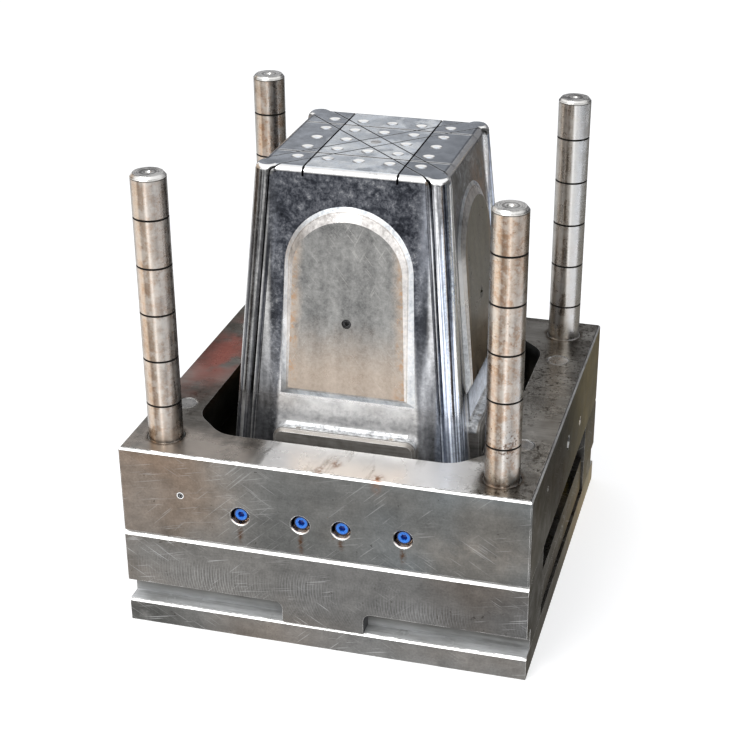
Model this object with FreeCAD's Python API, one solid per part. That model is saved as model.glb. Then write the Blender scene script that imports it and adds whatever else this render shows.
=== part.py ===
import FreeCAD, Part
import math
import os

os.makedirs("parts", exist_ok=True)

V = FreeCAD.Vector
UP = V(0, 0, 1)

# Millimetres, +Z up, origin at the centre of the underside.

# ---- plate stack and ejector travel ----
BASE = 600.0
HALF = BASE / 2
CLAMP_T = 36.0
REST_T = 5.0
BACK_T = 32.0
RETAIN_T = 26.0
STROKE = 45.0
STROKE_SPARE = 12.0
RAIL_H = REST_T + BACK_T + RETAIN_T + STROKE + STROKE_SPARE
CORE_PLATE_T = 136.0
Z_RAIL = CLAMP_T
Z_BACK = Z_RAIL + REST_T
Z_RETAIN = Z_BACK + BACK_T
Z_EJ_TOP = Z_RETAIN + RETAIN_T
Z_PLATE = Z_RAIL + RAIL_H
Z_TOP = Z_PLATE + CORE_PLATE_T
CLAMP_BEVEL = 3.5
RAIL_BEVEL = 8.0
TOP_BEVEL = 3.5
CORNER_BREAK = 2.0

# ---- clearances ----
AIR = 0.5
SLIDE_FIT = 0.05
PIN_FIT = 0.03
FOOT_CLEAR = 0.03
BLOCK_AIR = 0.3
HEAD_SINK = 1.0

# ---- core block ----
CORE_RISE = 383.0
POCKET_DEPTH = 64.0
Z_CORE = Z_TOP + CORE_RISE
Z_FLOOR = Z_TOP - POCKET_DEPTH
CORE_TOP_HALF = 133.4
CORE_DRAFT = 0.0855
CORE_FOOT_HALF = CORE_TOP_HALF + CORE_DRAFT * (Z_CORE - Z_FLOOR)
CORE_EDGE_R = 10.0
COL_R = 20.0
COL_INSET = 14.0
COL_TOP_R = 12.0
COL_LAND = 1.0                # the foot's ledge round the root of a column
COL_FACING = 1.0              # what is faced off the rounded end of a column
COLUMN_AT = CORE_FOOT_HALF - COL_INSET

# ---- skirt shelves between the legs, and the foot in its seat ----
SHELF_STEP = 15.9
SHELF_OUT = CORE_FOOT_HALF + SHELF_STEP
SHELF_SINK = 10.0             # how far a shelf runs on into the core
SHELF_HALF = 107.0
SHELF_R = 15.0
SHELF_BEVEL = 4.0
SHELF_RAMP = 3.5
FOOT_INSET = 1.5
FOOT_HALF = SHELF_OUT - FOOT_INSET
FOOT_T = 12.0
Z_SEAT = Z_FLOOR - FOOT_T
BAR_SCREW_X = 93.0
BAR_SCREW_Z = Z_FLOOR + 20.0
BAR_SCREW_R = 4.0
BAR_HEAD_R = 6.5
BAR_HEAD_T = 8.0
BAR_THREAD = 18.0             # how deep a bar's screw goes into the core

# ---- pocket round the core ----
POCKET_GAP = 37.5
POCKET_HALF = SHELF_OUT + POCKET_GAP
POCKET_CORNER = 52.0
POCKET_R = 50.0

# ---- ribs and dimples on top of the core ----
RIB_W = 2.6
RIB_DEPTH = 12.0
RIB_POS = 67.5
DIAG_W = 2.2
DIAG_OFF = 17.0
DIAG_LEG_DEPTH = 4.0
DIMPLE_PITCH = 44.5
DIMPLE_R = 9.0
DIMPLE_DEPTH = 3.0

# ---- arched window inserts in the four faces ----
WIN_SILL = 47.0
WIN_CROWN = 144.0
WIN_HOLE_RISE = 118.0
WIN_BOTTOM = Z_TOP + WIN_SILL
WIN_SPRING = Z_CORE - WIN_CROWN
WIN_HOLE_Z = WIN_BOTTOM + WIN_HOLE_RISE
WIN_R = 94.0
WIN_FOOT_HALF = 101.0
WIN_BEVEL = 14.0
WIN_BEVEL_TOP = 20.0
WIN_BEVEL_FOOT = 12.0
WIN_RAISE = 8.0
WIN_SEAT = 10.0
WIN_HEAD_R = 6.5
WIN_HEAD_H = 8.0
WIN_HEAD_DROP = 3.0
WIN_SCREW_R = 4.0
WIN_SCREW_L = 26.0
WIN_SOCKET_R = 3.4
WIN_SOCKET_DEPTH = 4.0
WIN_TILT = math.atan(CORE_DRAFT)

# ---- leg ejector blocks ----
BLOCK_BACK = 7.6
BLOCK_REACH = 40.4
BLOCK_CORNER = 8.0
BLOCK_IN = COLUMN_AT - BLOCK_BACK
BLOCK_OUT = COLUMN_AT + BLOCK_REACH
BLOCK_SUM = 2 * BLOCK_OUT - BLOCK_CORNER
BLOCK_T = 18.0
Z_BLOCK = Z_FLOOR - BLOCK_T
LEG_ROD_AT = (BLOCK_OUT - 10.5, BLOCK_IN + 15.0)
LEG_ROD_R = 8.0
LEG_ROD_IN = 10.0
LEG_ROD_HEAD_R = 12.0
LEG_ROD_HEAD_T = 8.0

# ---- ejector plates and the rails beside them ----
EJ_SIDE_GAP = 4.0
EJ_EDGE = 22.0
EJ_RAIL_GAP = 3.0
EJ_HALF_X = HALF - EJ_SIDE_GAP
EJ_HALF_Y = LEG_ROD_AT[1] + EJ_EDGE
RAIL_W = HALF - EJ_HALF_Y - EJ_RAIL_GAP
RAIL_MIDDLE = HALF - RAIL_W / 2
REST_R = 15.0
REST_PEG_R = 4.0
REST_PEG_L = 14.0
REST_AT = [(EJ_HALF_X - 26.0, 20.0), (160.0, 110.0)]

# ---- clamp slots in the rails ----
SLOT_H = 34.0
SLOT_DEPTH = 26.0
SLOT_END_X = 61.0
SLOT_R = 12.0

# ---- guide pillars ----
PILLAR_EDGE = 53.0
PILLAR_AT = HALF - PILLAR_EDGE
PILLAR_R = 25.0
PILLAR_RISE = 398.0
PILLAR_TOP = Z_TOP + PILLAR_RISE
PILLAR_BEVEL = 4.0
PILLAR_BEVEL_H = 5.0
PILLAR_HEAD_R = 30.0
PILLAR_HEAD_T = 12.0
PILLAR_RING = 3.0
GROOVE_W = 3.0
GROOVE_D = 1.6
GROOVE_FIRST = 61.4
GROOVE_PITCH = 69.8
GROOVES = 5
CENTRE_R = 5.0
CENTRE_DEPTH = 6.0

# ---- return pins and springs ----
RETURN_SHIFT = 6.5
RETURN_AT = ((HALF + POCKET_HALF) / 2 - RETURN_SHIFT, 145.0)
RETURN_R = 15.0
RETURN_HEAD_R = 18.0
RETURN_HEAD_T = 8.0
RETURN_RING = 3.0
SPRING_BORE_R = 27.0
SPRING_SINK = 40.0
Z_SPRING = Z_PLATE + SPRING_SINK
SPRING_IN = 17.5
SPRING_OUT = 24.5
SPRING_WIRE = 5.0
SPRING_COILS = 7

# ---- skirt ejector pins ----
SKIRT_AT = SHELF_OUT - 10.5
SKIRT_SIDE = 70.0
SKIRT_R = 4.0
SKIRT_HEAD_R = 7.0
SKIRT_HEAD_T = 6.0

# ---- ejector guiding ----
EGUIDE_AT = (225.0, 50.0)
EGUIDE_R = 15.0
EGUIDE_HEAD_R = 18.0
EGUIDE_HEAD_T = 8.0
EGUIDE_IN = 24.0
BUSH_R = 21.0
BUSH_FLANGE_R = 25.0
BUSH_FLANGE_T = 6.0

# ---- support pillars ----
SUPPORT_AT = (75.0, 90.0)
SUPPORT_R = 30.0
SUPPORT_HOLE_R = 32.0

# ---- screws and dowels ----
CLAMP_SCREW_AT = [(170.0, RAIL_MIDDLE), (60.0, RAIL_MIDDLE)]
CLAMP_SCREW_R = 10.0
CLAMP_HEAD_R = 15.0
CLAMP_HEAD_T = 20.0
CLAMP_SCREW_TOP = Z_PLATE + 44.0
DOWEL_AT = (115.0, RAIL_MIDDLE - 10.0)
DOWEL_R = 10.0
DOWEL_Z0 = 8.0
DOWEL_Z1 = Z_PLATE + 34.0
CORE_SCREW_AT = [(75.0, 140.0), (150.0, 60.0)]
CORE_SCREW_R = 8.0
CORE_HEAD_R = 12.0
CORE_HEAD_T = 16.0
CORE_SCREW_TOP = Z_FLOOR + 18.0
M12_R = 6.0
M12_HEAD_R = 9.0
M12_HEAD_T = 12.0
SUPPORT_SCREW_TOP = Z_RAIL + 30.0
EJ_SCREW_AT = [(125.0, EJ_HALF_Y - 27.0), (EJ_HALF_X - 18.0, 90.0)]
EJ_SCREW_TOP = Z_EJ_TOP - 6.0

# ---- knock-out ----
KO_R = 30.0
KO_BUSH_R = 22.0
KO_THREAD_R = 12.0
KO_FLANGE_R = 28.0
KO_FLANGE_T = 8.0

# ---- cooling ----
PORT_X = [-120.0, -30.0, 30.0, 120.0]
PORT_Z = Z_PLATE + 49.0
CHANNEL_R = 6.0
PORT_R = 13.5
PORT_BEVEL = 1.5
PORT_DEPTH = 14.0
PLUG_R = 11.0
PLUG_T = 8.0
PLUG_SINK = 6.0
PLUG_BODY_R = 8.0
PLUG_BODY_L = 14.0
PLUG_HEX = 4.6
PLUG_HEX_DEPTH = 5.0
CROSS_Y = 115.0
CROSS_PLUG_R = 8.0
CROSS_PLUG_L = 14.0
CROSS_PLUG_SINK = 3.0
CROSS_PLUG_HEX = 3.7
WELL_Y = 90.0
WELL_R = 10.0
WELL_ROOF_INNER = 35.0
WELL_ROOF_OUTER = 235.0
WELL_TOP_INNER = Z_CORE - WELL_ROOF_INNER
WELL_TOP_OUTER = Z_CORE - WELL_ROOF_OUTER
WELL_END_GAP = 12.0
BAFFLE_T = 2.0
BAFFLE_AIR = 0.4
BAFFLE_PLUG_Z0 = PORT_Z - 25.0
BAFFLE_PLUG_Z1 = PORT_Z - 7.0
RING_OUT = 15.5
RING_IN = 11.5
RING_T = 4.0

# ---- air poppet in the centre of the core top ----
AIR_BORE_R = 13.0
AIR_ROOF = Z_CORE - 20.0
POPPET_HEAD_R = 8.0
POPPET_NECK_R = 5.0
POPPET_CONE_H = 7.0
POPPET_STEM_R = 4.0
POPPET_GAP = 0.05
POPPET_SLOT_W = 1.2
POPPET_SLOT_DEPTH = 1.5
GUIDE_Z0 = AIR_ROOF - 25.0
POPPET_Z0 = GUIDE_Z0 - 30.0
NUT_R = 9.0
NUT_T = 8.0
PSPRING_IN = 4.8
PSPRING_OUT = 7.4
PSPRING_WIRE = 1.4
PSPRING_COILS = 4

# ---- tapped holes on the sides ----
EYE_R = 12.0
EYE_DEPTH = 42.0
EYE_RISE = 70.0
EYE_Z = Z_PLATE + EYE_RISE
SMALL_R = 4.2
SMALL_DEPTH = 22.0
SMALL_RISE_FRONT = 70.0
SMALL_RISE_RIGHT = 87.0
SMALL_FRONT = (-209.0, Z_PLATE + SMALL_RISE_FRONT)
SMALL_RIGHT = (-175.0, Z_PLATE + SMALL_RISE_RIGHT)


def box(x0, x1, y0, y1, z0, z1):
    return Part.makeBox(x1 - x0, y1 - y0, z1 - z0, V(x0, y0, z0))


def rod(x, y, z0, z1, r):
    return Part.makeCylinder(r, z1 - z0, V(x, y, z0), UP)


def tube(x, y, z0, z1, r_out, r_in):
    return rod(x, y, z0, z1, r_out).cut(rod(x, y, z0 - 1, z1 + 1, r_in))


def lay(start, direction, length, r):
    return Part.makeCylinder(r, length, start, direction)


def cone(x, y, z0, z1, r0, r1):
    return Part.makeCone(r0, r1, z1 - z0, V(x, y, z0), UP)


def four(point):
    x, y = point
    return [(sx * x, sy * y) for sx in (-1, 1) for sy in (-1, 1)]


def many(points):
    return [p for point in points for p in four(point)]


def prism(points, direction):
    wire = Part.makePolygon([V(*p) for p in points + points[:1]])
    return Part.Face(wire).extrude(V(*direction))


def turned(shape, quarter):
    out = shape.copy()
    out.rotate(V(0, 0, 0), UP, 90.0 * quarter)
    return out


def cut_each(shape, tools):
    """Cut the tools one after another, as some of them meet inside the shape."""
    for tool in tools:
        shape = shape.cut(tool)
    return shape


def edges_where(shape, test):
    return [e for e in shape.Edges if test(e.BoundBox)]


def save(name, shape):
    shape.exportStep("parts/" + name + ".step")


def group(name, solids):
    save(name, Part.makeCompound(solids))


def hexagon(centre, direction, flat_r, length):
    corner = flat_r / math.cos(math.pi / 6)
    rotation = FreeCAD.Rotation(UP, direction)
    points = []
    for i in range(7):
        a = math.pi / 3 * i
        flat = V(corner * math.cos(a), corner * math.sin(a), 0)
        points.append(centre + rotation.multVec(flat))
    face = Part.Face(Part.makePolygon(points))
    return face.extrude(V(direction).multiply(length))


def cap_screw(x, y, z0, z1, r, head_r, head_t):
    """A socket screw standing upright, its head at the bottom."""
    head = rod(x, y, z0, z0 + head_t, head_r)
    shank = rod(x, y, z0 + head_t, z1, r)
    socket = hexagon(V(x, y, z0 - 1), V(0, 0, 1), r * 0.72, 1 + head_t * 0.5)
    return head.fuse(shank).cut(socket).removeSplitter()


def spring(x, y, z0, z1, r_in, r_out, wire, coils):
    """A coil of rectangular wire between two levels."""
    mean = (r_in + r_out) / 2
    rise = z1 - z0 - wire
    helix = Part.makeHelix(rise / coils, rise, mean)
    helix.translate(V(x, y, z0 + wire / 2))
    corners = [(r_in, -1), (r_out, -1), (r_out, 1), (r_in, 1), (r_in, -1)]
    base = z0 + wire / 2
    profile = Part.makePolygon([V(x + r, y, base + s * wire / 2) for r, s in corners])
    return Part.Wire(helix.Edges).makePipeShell([profile], True, True)


def core_half(z):
    return CORE_TOP_HALF + CORE_DRAFT * (Z_CORE - z)


# ------------------------------------------------------------------ clamp plate
def clamp_plate():
    plate = box(-HALF, HALF, -HALF, HALF, 0, CLAMP_T)
    rims = edges_where(plate, lambda b: b.ZMin > CLAMP_T - 0.1 and b.YLength < 0.1)
    plate = plate.makeChamfer(CLAMP_BEVEL, rims)
    tools = [rod(0, 0, -1, CLAMP_T + 1, KO_R)]
    for x, y in many(CLAMP_SCREW_AT):
        tools.append(rod(x, y, -1, HEAD_SINK + CLAMP_HEAD_T, CLAMP_HEAD_R + AIR))
        tools.append(rod(x, y, 0, CLAMP_T + 1, CLAMP_SCREW_R + AIR))
    for x, y in four(DOWEL_AT):
        tools.append(rod(x, y, -1, CLAMP_T + 1, DOWEL_R))
    for x, y in four(EGUIDE_AT):
        tools.append(rod(x, y, -1, HEAD_SINK + EGUIDE_HEAD_T, EGUIDE_HEAD_R))
        tools.append(rod(x, y, 0, CLAMP_T + 1, EGUIDE_R))
    for x, y in four(SUPPORT_AT):
        tools.append(rod(x, y, -1, HEAD_SINK + M12_HEAD_T, M12_HEAD_R + AIR))
        tools.append(rod(x, y, 0, CLAMP_T + 1, M12_R + AIR))
    for x, y in many(REST_AT):
        tools.append(rod(x, y, CLAMP_T - REST_PEG_L, CLAMP_T + 1, REST_PEG_R))
    return plate.cut(tools)


# ------------------------------------------------------------------ spacer rails
def front_rail():
    rail = box(-HALF, HALF, -HALF, -HALF + RAIL_W, Z_RAIL, Z_PLATE)
    rims = edges_where(rail, lambda b: b.ZMin > Z_PLATE - 0.1 and b.YMax < -HALF + 0.1)
    rail = rail.makeChamfer(RAIL_BEVEL, rims)
    tools = []
    for side in (-1, 1):
        x0, x1 = sorted((side * SLOT_END_X, side * (HALF + 1)))
        slot = box(x0, x1, -HALF - 1, -HALF + SLOT_DEPTH, Z_RAIL - 1, Z_RAIL + SLOT_H)
        inner = edges_where(slot, lambda b: abs(b.XMin - side * SLOT_END_X) < 0.1
                            and b.XLength < 0.1 and b.ZMin > Z_RAIL + SLOT_H - 0.1)
        tools.append(slot.makeFillet(SLOT_R, inner))
    for x, y in many(CLAMP_SCREW_AT):
        if y < 0:
            tools.append(rod(x, y, Z_RAIL - 1, Z_PLATE + 1, CLAMP_SCREW_R + AIR))
    for x, y in four(DOWEL_AT):
        if y < 0:
            tools.append(rod(x, y, Z_RAIL - 1, Z_PLATE + 1, DOWEL_R))
    return rail.cut(tools)


# ------------------------------------------------------------------ core plate
def pocket():
    h = POCKET_HALF
    c = POCKET_HALF - POCKET_CORNER
    z = Z_FLOOR
    ring = [(c, -h, z), (h, -c, z), (h, c, z), (c, h, z),
            (-c, h, z), (-h, c, z), (-h, -c, z), (-c, -h, z)]
    body = prism(ring, (0, 0, POCKET_DEPTH + 1))
    upright = edges_where(body, lambda b: b.ZLength > POCKET_DEPTH)
    return body.makeFillet(POCKET_R, upright)


def leg_block_blank(sx, sy, z0, z1, grow):
    """The outline of a leg ejector block, grown all round by a clearance."""
    a = BLOCK_IN - grow
    b = BLOCK_OUT + grow
    s = BLOCK_SUM + grow * math.sqrt(2)
    outline = [(a, a), (b, a), (b, s - b), (s - b, b), (a, b)]
    body = prism([(sx * x, sy * y, z0) for x, y in outline], (0, 0, z1 - z0))
    return body.cut(rod(sx * COLUMN_AT, sy * COLUMN_AT, z0 - 1, z1 + 1,
                        COL_R + COL_LAND + BLOCK_AIR - grow))


def leg_corners():
    return [(sx, sy) for sx in (-1, 1) for sy in (-1, 1)]


def skirt_points():
    points = four((SKIRT_SIDE, SKIRT_AT))
    return points + four((SKIRT_AT, SKIRT_SIDE))


def well_points():
    return [(x, s * WELL_Y) for x in PORT_X for s in (-1, 1)]


def core_plate():
    plate = box(-HALF, HALF, -HALF, HALF, Z_PLATE, Z_TOP)
    rims = edges_where(plate, lambda b: b.ZMin > Z_TOP - 0.1)
    plate = plate.makeChamfer(TOP_BEVEL, rims)
    upright = edges_where(plate, lambda b: b.ZLength > 2 * TOP_BEVEL)
    plate = plate.makeChamfer(CORNER_BREAK, upright)
    plate = plate.cut(pocket())
    seat = FOOT_HALF + FOOT_CLEAR
    tools = [box(-seat, seat, -seat, seat, Z_SEAT, Z_FLOOR + 1)]
    for sx, sy in leg_corners():
        tools.append(leg_block_blank(sx, sy, Z_BLOCK, Z_FLOOR + 1, BLOCK_AIR))
    for x, y in four(LEG_ROD_AT):
        tools.append(rod(x, y, Z_PLATE - 1, Z_BLOCK + 1, LEG_ROD_R + AIR))
    for x, y in skirt_points():
        tools.append(rod(x, y, Z_PLATE - 1, Z_FLOOR + 1, SKIRT_R + AIR))
    for x, y in four(RETURN_AT):
        tools.append(rod(x, y, Z_PLATE - 1, Z_TOP + 1, RETURN_R + SLIDE_FIT))
        tools.append(rod(x, y, Z_PLATE - 1, Z_SPRING, SPRING_BORE_R))
        tools.append(cone(x, y, Z_TOP - RETURN_RING, Z_TOP + 1,
                          RETURN_R, RETURN_R + RETURN_RING + 1))
    for x, y in four((PILLAR_AT, PILLAR_AT)):
        tools.append(rod(x, y, Z_PLATE - 1, Z_TOP + 1, PILLAR_R))
        tools.append(rod(x, y, Z_PLATE - 1, Z_PLATE + PILLAR_HEAD_T, PILLAR_HEAD_R))
        tools.append(cone(x, y, Z_TOP - PILLAR_RING, Z_TOP + 1,
                          PILLAR_R, PILLAR_R + PILLAR_RING + 1))
    for x, y in four(EGUIDE_AT):
        tools.append(rod(x, y, Z_PLATE - 1, Z_PLATE + EGUIDE_IN, EGUIDE_R))
    for x, y in many(CLAMP_SCREW_AT):
        tools.append(rod(x, y, Z_PLATE - 1, CLAMP_SCREW_TOP, CLAMP_SCREW_R))
    for x, y in four(DOWEL_AT):
        tools.append(rod(x, y, Z_PLATE - 1, DOWEL_Z1, DOWEL_R))
    for x, y in many(CORE_SCREW_AT):
        tools.append(rod(x, y, Z_PLATE - 1, Z_PLATE + HEAD_SINK + CORE_HEAD_T, CORE_HEAD_R + AIR))
        tools.append(rod(x, y, Z_PLATE, Z_SEAT + 1, CORE_SCREW_R + AIR))
    plate = plate.cut(tools)
    return plate.cut(plate_water_tools() + plate_side_holes())


def plate_water_tools():
    inward = V(0, 1, 0)
    tools = []
    for x in PORT_X:
        tools.append(lay(V(x, -HALF - 1, PORT_Z), inward, HALF + 1 + CROSS_Y, CHANNEL_R))
        tools.append(lay(V(x, -HALF - 1, PORT_Z), inward, 1 + PORT_DEPTH, PORT_R))
        tools.append(lay(V(x, -HALF, PORT_Z), inward, PORT_DEPTH + PLUG_BODY_L, PLUG_BODY_R))
        tools.append(Part.makeCone(PORT_R + PORT_BEVEL, PORT_R, PORT_BEVEL,
                                   V(x, -HALF, PORT_Z), inward))
    for side in (-1, 1):
        start = V(side * (HALF + 1), CROSS_Y, PORT_Z)
        middle = V(-side, 0, 0)
        reach = HALF + 1 - abs(PORT_X[1])
        tools.append(lay(start, middle, reach, CHANNEL_R))
        tools.append(lay(start, middle, 1 + CROSS_PLUG_SINK + CROSS_PLUG_L, CROSS_PLUG_R))
    for x, y in well_points():
        tools.append(rod(x, y, Z_PLATE - 1, Z_SEAT + 1, WELL_R))
        tools.append(rod(x, y, Z_SEAT - RING_T, Z_SEAT + 1, RING_OUT))
    return tools


def plate_side_holes():
    tools = []
    for side in (-1, 1):
        tools.append(lay(V(side * (HALF + 1), 0, EYE_Z), V(-side, 0, 0), EYE_DEPTH + 1, EYE_R))
    x, z = SMALL_FRONT
    tools.append(lay(V(x, -HALF - 1, z), V(0, 1, 0), SMALL_DEPTH + 1, SMALL_R))
    y, z = SMALL_RIGHT
    tools.append(lay(V(HALF + 1, y, z), V(-1, 0, 0), SMALL_DEPTH + 1, SMALL_R))
    return tools


# ------------------------------------------------------------------ core block
def skirt_bar():
    """The bar on the front face: a shelf that shuts off the skirt's edge, with its foot."""
    w = SHELF_HALF
    r = SHELF_R
    y = -SHELF_OUT
    shelf = box(-w, w, y, y + SHELF_STEP + SHELF_SINK, Z_FLOOR, Z_TOP)
    corners = edges_where(shelf, lambda b: b.ZMin > Z_TOP - 0.1 and b.XLength < 0.1)
    shelf = shelf.makeFillet(r, corners)
    nose = edges_where(shelf, lambda b: b.YMax < y + 0.1 and b.ZMax > Z_FLOOR + 0.1)
    shelf = shelf.makeChamfer(SHELF_BEVEL, nose)
    face = -core_half(Z_TOP)
    ramp = prism([(-w + r, face + SHELF_RAMP, Z_TOP),
                  (-w + r, face - SHELF_RAMP, Z_TOP),
                  (-w + r, face, Z_TOP + SHELF_RAMP),
                  (-w + r, face + SHELF_RAMP, Z_TOP + SHELF_RAMP)],
                 (2 * (w - r), 0, 0))
    reach = BLOCK_IN - BLOCK_AIR
    foot = box(-reach, reach, -FOOT_HALF, -CORE_FOOT_HALF, Z_SEAT, Z_FLOOR)
    body = shelf.fuse([ramp, foot])
    z_over = Z_TOP + 2 * SHELF_RAMP
    core = [(-2 * w, 0, Z_SEAT - 1), (-2 * w, -CORE_FOOT_HALF, Z_SEAT - 1),
            (-2 * w, -CORE_FOOT_HALF, Z_FLOOR), (-2 * w, -core_half(z_over), z_over),
            (-2 * w, 0, z_over)]
    tools = [prism(core, (4 * w, 0, 0))]
    tools += [foot_post(sx, -1, Z_SEAT - 1, Z_FLOOR) for sx in (-1, 1)]
    tools += [rod(sx * SKIRT_SIDE, -SKIRT_AT, Z_SEAT - 1, Z_TOP + 1, SKIRT_R + PIN_FIT)
              for sx in (-1, 1)]
    for x in (-BAR_SCREW_X, BAR_SCREW_X):
        tools.append(lay_in(x, SHELF_OUT + 1, CORE_FOOT_HALF - SHELF_SINK, BAR_SCREW_R + AIR))
        tools.append(lay_in(x, SHELF_OUT + 1, SHELF_OUT - HEAD_SINK - BAR_HEAD_T, BAR_HEAD_R + AIR))
    return cut_each(body, tools)


def foot_post(sx, sy, z0, z1):
    """The round post of the core's foot that stands under a leg column."""
    return rod(sx * COLUMN_AT, sy * COLUMN_AT, z0, z1, COL_R + COL_LAND)


def lay_in(x, y_out, y_in, r):
    """A rod on a bar screw's axis, from y_out inwards to y_in."""
    return lay(V(x, -y_out, BAR_SCREW_Z), V(0, 1, 0), y_out - y_in, r)


def bar_screw(x):
    under_head = SHELF_OUT - HEAD_SINK - BAR_HEAD_T
    screw = cap_screw(0, 0, 0, BAR_HEAD_T + under_head - CORE_FOOT_HALF + BAR_THREAD,
                      BAR_SCREW_R, BAR_HEAD_R, BAR_HEAD_T)
    screw.rotate(V(0, 0, 0), V(1, 0, 0), -90)
    screw.translate(V(x, HEAD_SINK - SHELF_OUT, BAR_SCREW_Z))
    return screw


def column(sx, sy):
    """A leg column with a rounded end, leaning in with the draft of both faces."""
    inward = V(-sx * CORE_DRAFT, -sy * CORE_DRAFT, 1)
    height = Z_CORE - Z_FLOOR + COL_R + COL_FACING
    base = V(sx * COLUMN_AT, sy * COLUMN_AT, Z_FLOOR) - inward * COL_R
    body = Part.makeCylinder(COL_R / inward.Length, height * inward.Length, base, inward)
    rim = edges_where(body, lambda b: b.ZMin > Z_CORE - COL_R)
    body = body.makeFillet(COL_TOP_R, rim)
    reach = COLUMN_AT + 2 * COL_R
    return body.common(box(-reach, reach, -reach, reach, Z_FLOOR, Z_CORE))


def diagonal_blade(turn, off):
    """One thin rib: up a leg, over the top along a diagonal and down the far leg."""
    root2 = math.sqrt(2)
    reach = math.sqrt(COL_R ** 2 - DIAG_OFF ** 2)

    def surface(z):
        return root2 * (core_half(z) - COL_INSET) + reach

    z_in = Z_CORE - RIB_DEPTH
    z_low = Z_FLOOR + DIAG_W
    z_high = Z_CORE + DIAG_W
    half = [
        (surface(z_low) + 2 * COL_R, z_low),
        (surface(z_low) - DIAG_LEG_DEPTH, z_low),
        (surface(z_in) - DIAG_LEG_DEPTH, z_in),
    ]
    outline = half + [(-s, z) for s, z in reversed(half)]
    outline += [(-surface(z_low) - 2 * COL_R, z_high), (surface(z_low) + 2 * COL_R, z_high)]
    along = V(1, turn, 0).multiply(1 / root2)
    across = V(-turn, 1, 0).multiply(1 / root2)
    start = across * (off - DIAG_W / 2)
    points = [along * s + start + UP * z for s, z in outline]
    face = Part.Face(Part.makePolygon(points + points[:1]))
    return face.extrude(across * DIAG_W)


def top_cutters():
    span = core_half(Z_FLOOR)
    z_in = Z_CORE - RIB_DEPTH
    tools = []
    for s in (-1, 1):
        p = s * RIB_POS
        tools.append(box(p - RIB_W / 2, p + RIB_W / 2, -span, span, z_in, Z_CORE + 1))
        tools.append(box(-span, span, p - RIB_W / 2, p + RIB_W / 2, z_in, Z_CORE + 1))
    for turn in (-1, 1):
        for side in (-1, 1):
            tools.append(diagonal_blade(turn, side * DIAG_OFF))
    ball = (DIMPLE_R ** 2 + DIMPLE_DEPTH ** 2) / (2 * DIMPLE_DEPTH)
    for i in range(-2, 3):
        for j in range(-2, 3):
            if (i, j) != (0, 0):
                centre = V(i * DIMPLE_PITCH, j * DIMPLE_PITCH, Z_CORE - DIMPLE_DEPTH + ball)
                tools.append(Part.makeSphere(ball, centre))
    return tools


def well_top(x):
    return WELL_TOP_INNER if abs(x) < SUPPORT_AT[0] else WELL_TOP_OUTER


def underside_bores():
    """Cooling wells, screw holes and the stepped air bore, all drilled from below."""
    bores = [rod(x, y, Z_SEAT - 1, well_top(x), WELL_R) for x, y in well_points()]
    bores += [rod(x, y, Z_SEAT - 1, CORE_SCREW_TOP, CORE_SCREW_R)
              for x, y in many(CORE_SCREW_AT)]
    bores.append(rod(0, 0, Z_SEAT - 1, AIR_ROOF, AIR_BORE_R))
    neck_r = POPPET_NECK_R + POPPET_GAP
    bores.append(rod(0, 0, AIR_ROOF - 1, Z_CORE, neck_r))
    bores.append(cone(0, 0, Z_CORE - POPPET_CONE_H, Z_CORE, neck_r, POPPET_HEAD_R + POPPET_GAP))
    return bores


def core_block():
    low, high = core_half(Z_FLOOR), core_half(Z_CORE)
    body = Part.makeWedge(-low, Z_FLOOR, -low, -high, -high,
                          low, Z_CORE, low, high, high)
    body.rotate(V(0, 0, 0), V(1, 0, 0), 90)
    rims = edges_where(body, lambda b: b.ZMin > Z_CORE - 0.1)
    body = body.makeFillet(CORE_EDGE_R, rims)
    foot = box(-low, low, -low, low, Z_SEAT, Z_FLOOR)
    foot = foot.cut([leg_block_blank(sx, sy, Z_SEAT - 1, Z_FLOOR + 1, BLOCK_AIR)
                     for sx, sy in leg_corners()])
    foot = foot.fuse([foot_post(sx, sy, Z_SEAT, Z_FLOOR) for sx, sy in leg_corners()])
    body = cut_each(body, underside_bores())
    foot = cut_each(foot, underside_bores())
    body = body.fuse([column(sx, sy) for sx, sy in leg_corners()] + [foot])
    tools = top_cutters()
    tools += [on_face(insert_seat(WIN_SEAT + 1), q) for q in range(4)]
    tools += [on_face(insert_thread(), q) for q in range(4)]
    for x in (-BAR_SCREW_X, BAR_SCREW_X):
        thread = lay_in(x, SHELF_OUT, CORE_FOOT_HALF - BAR_THREAD, BAR_SCREW_R)
        tools += [turned(thread, q) for q in range(4)]
    return cut_each(body, tools)


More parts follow.
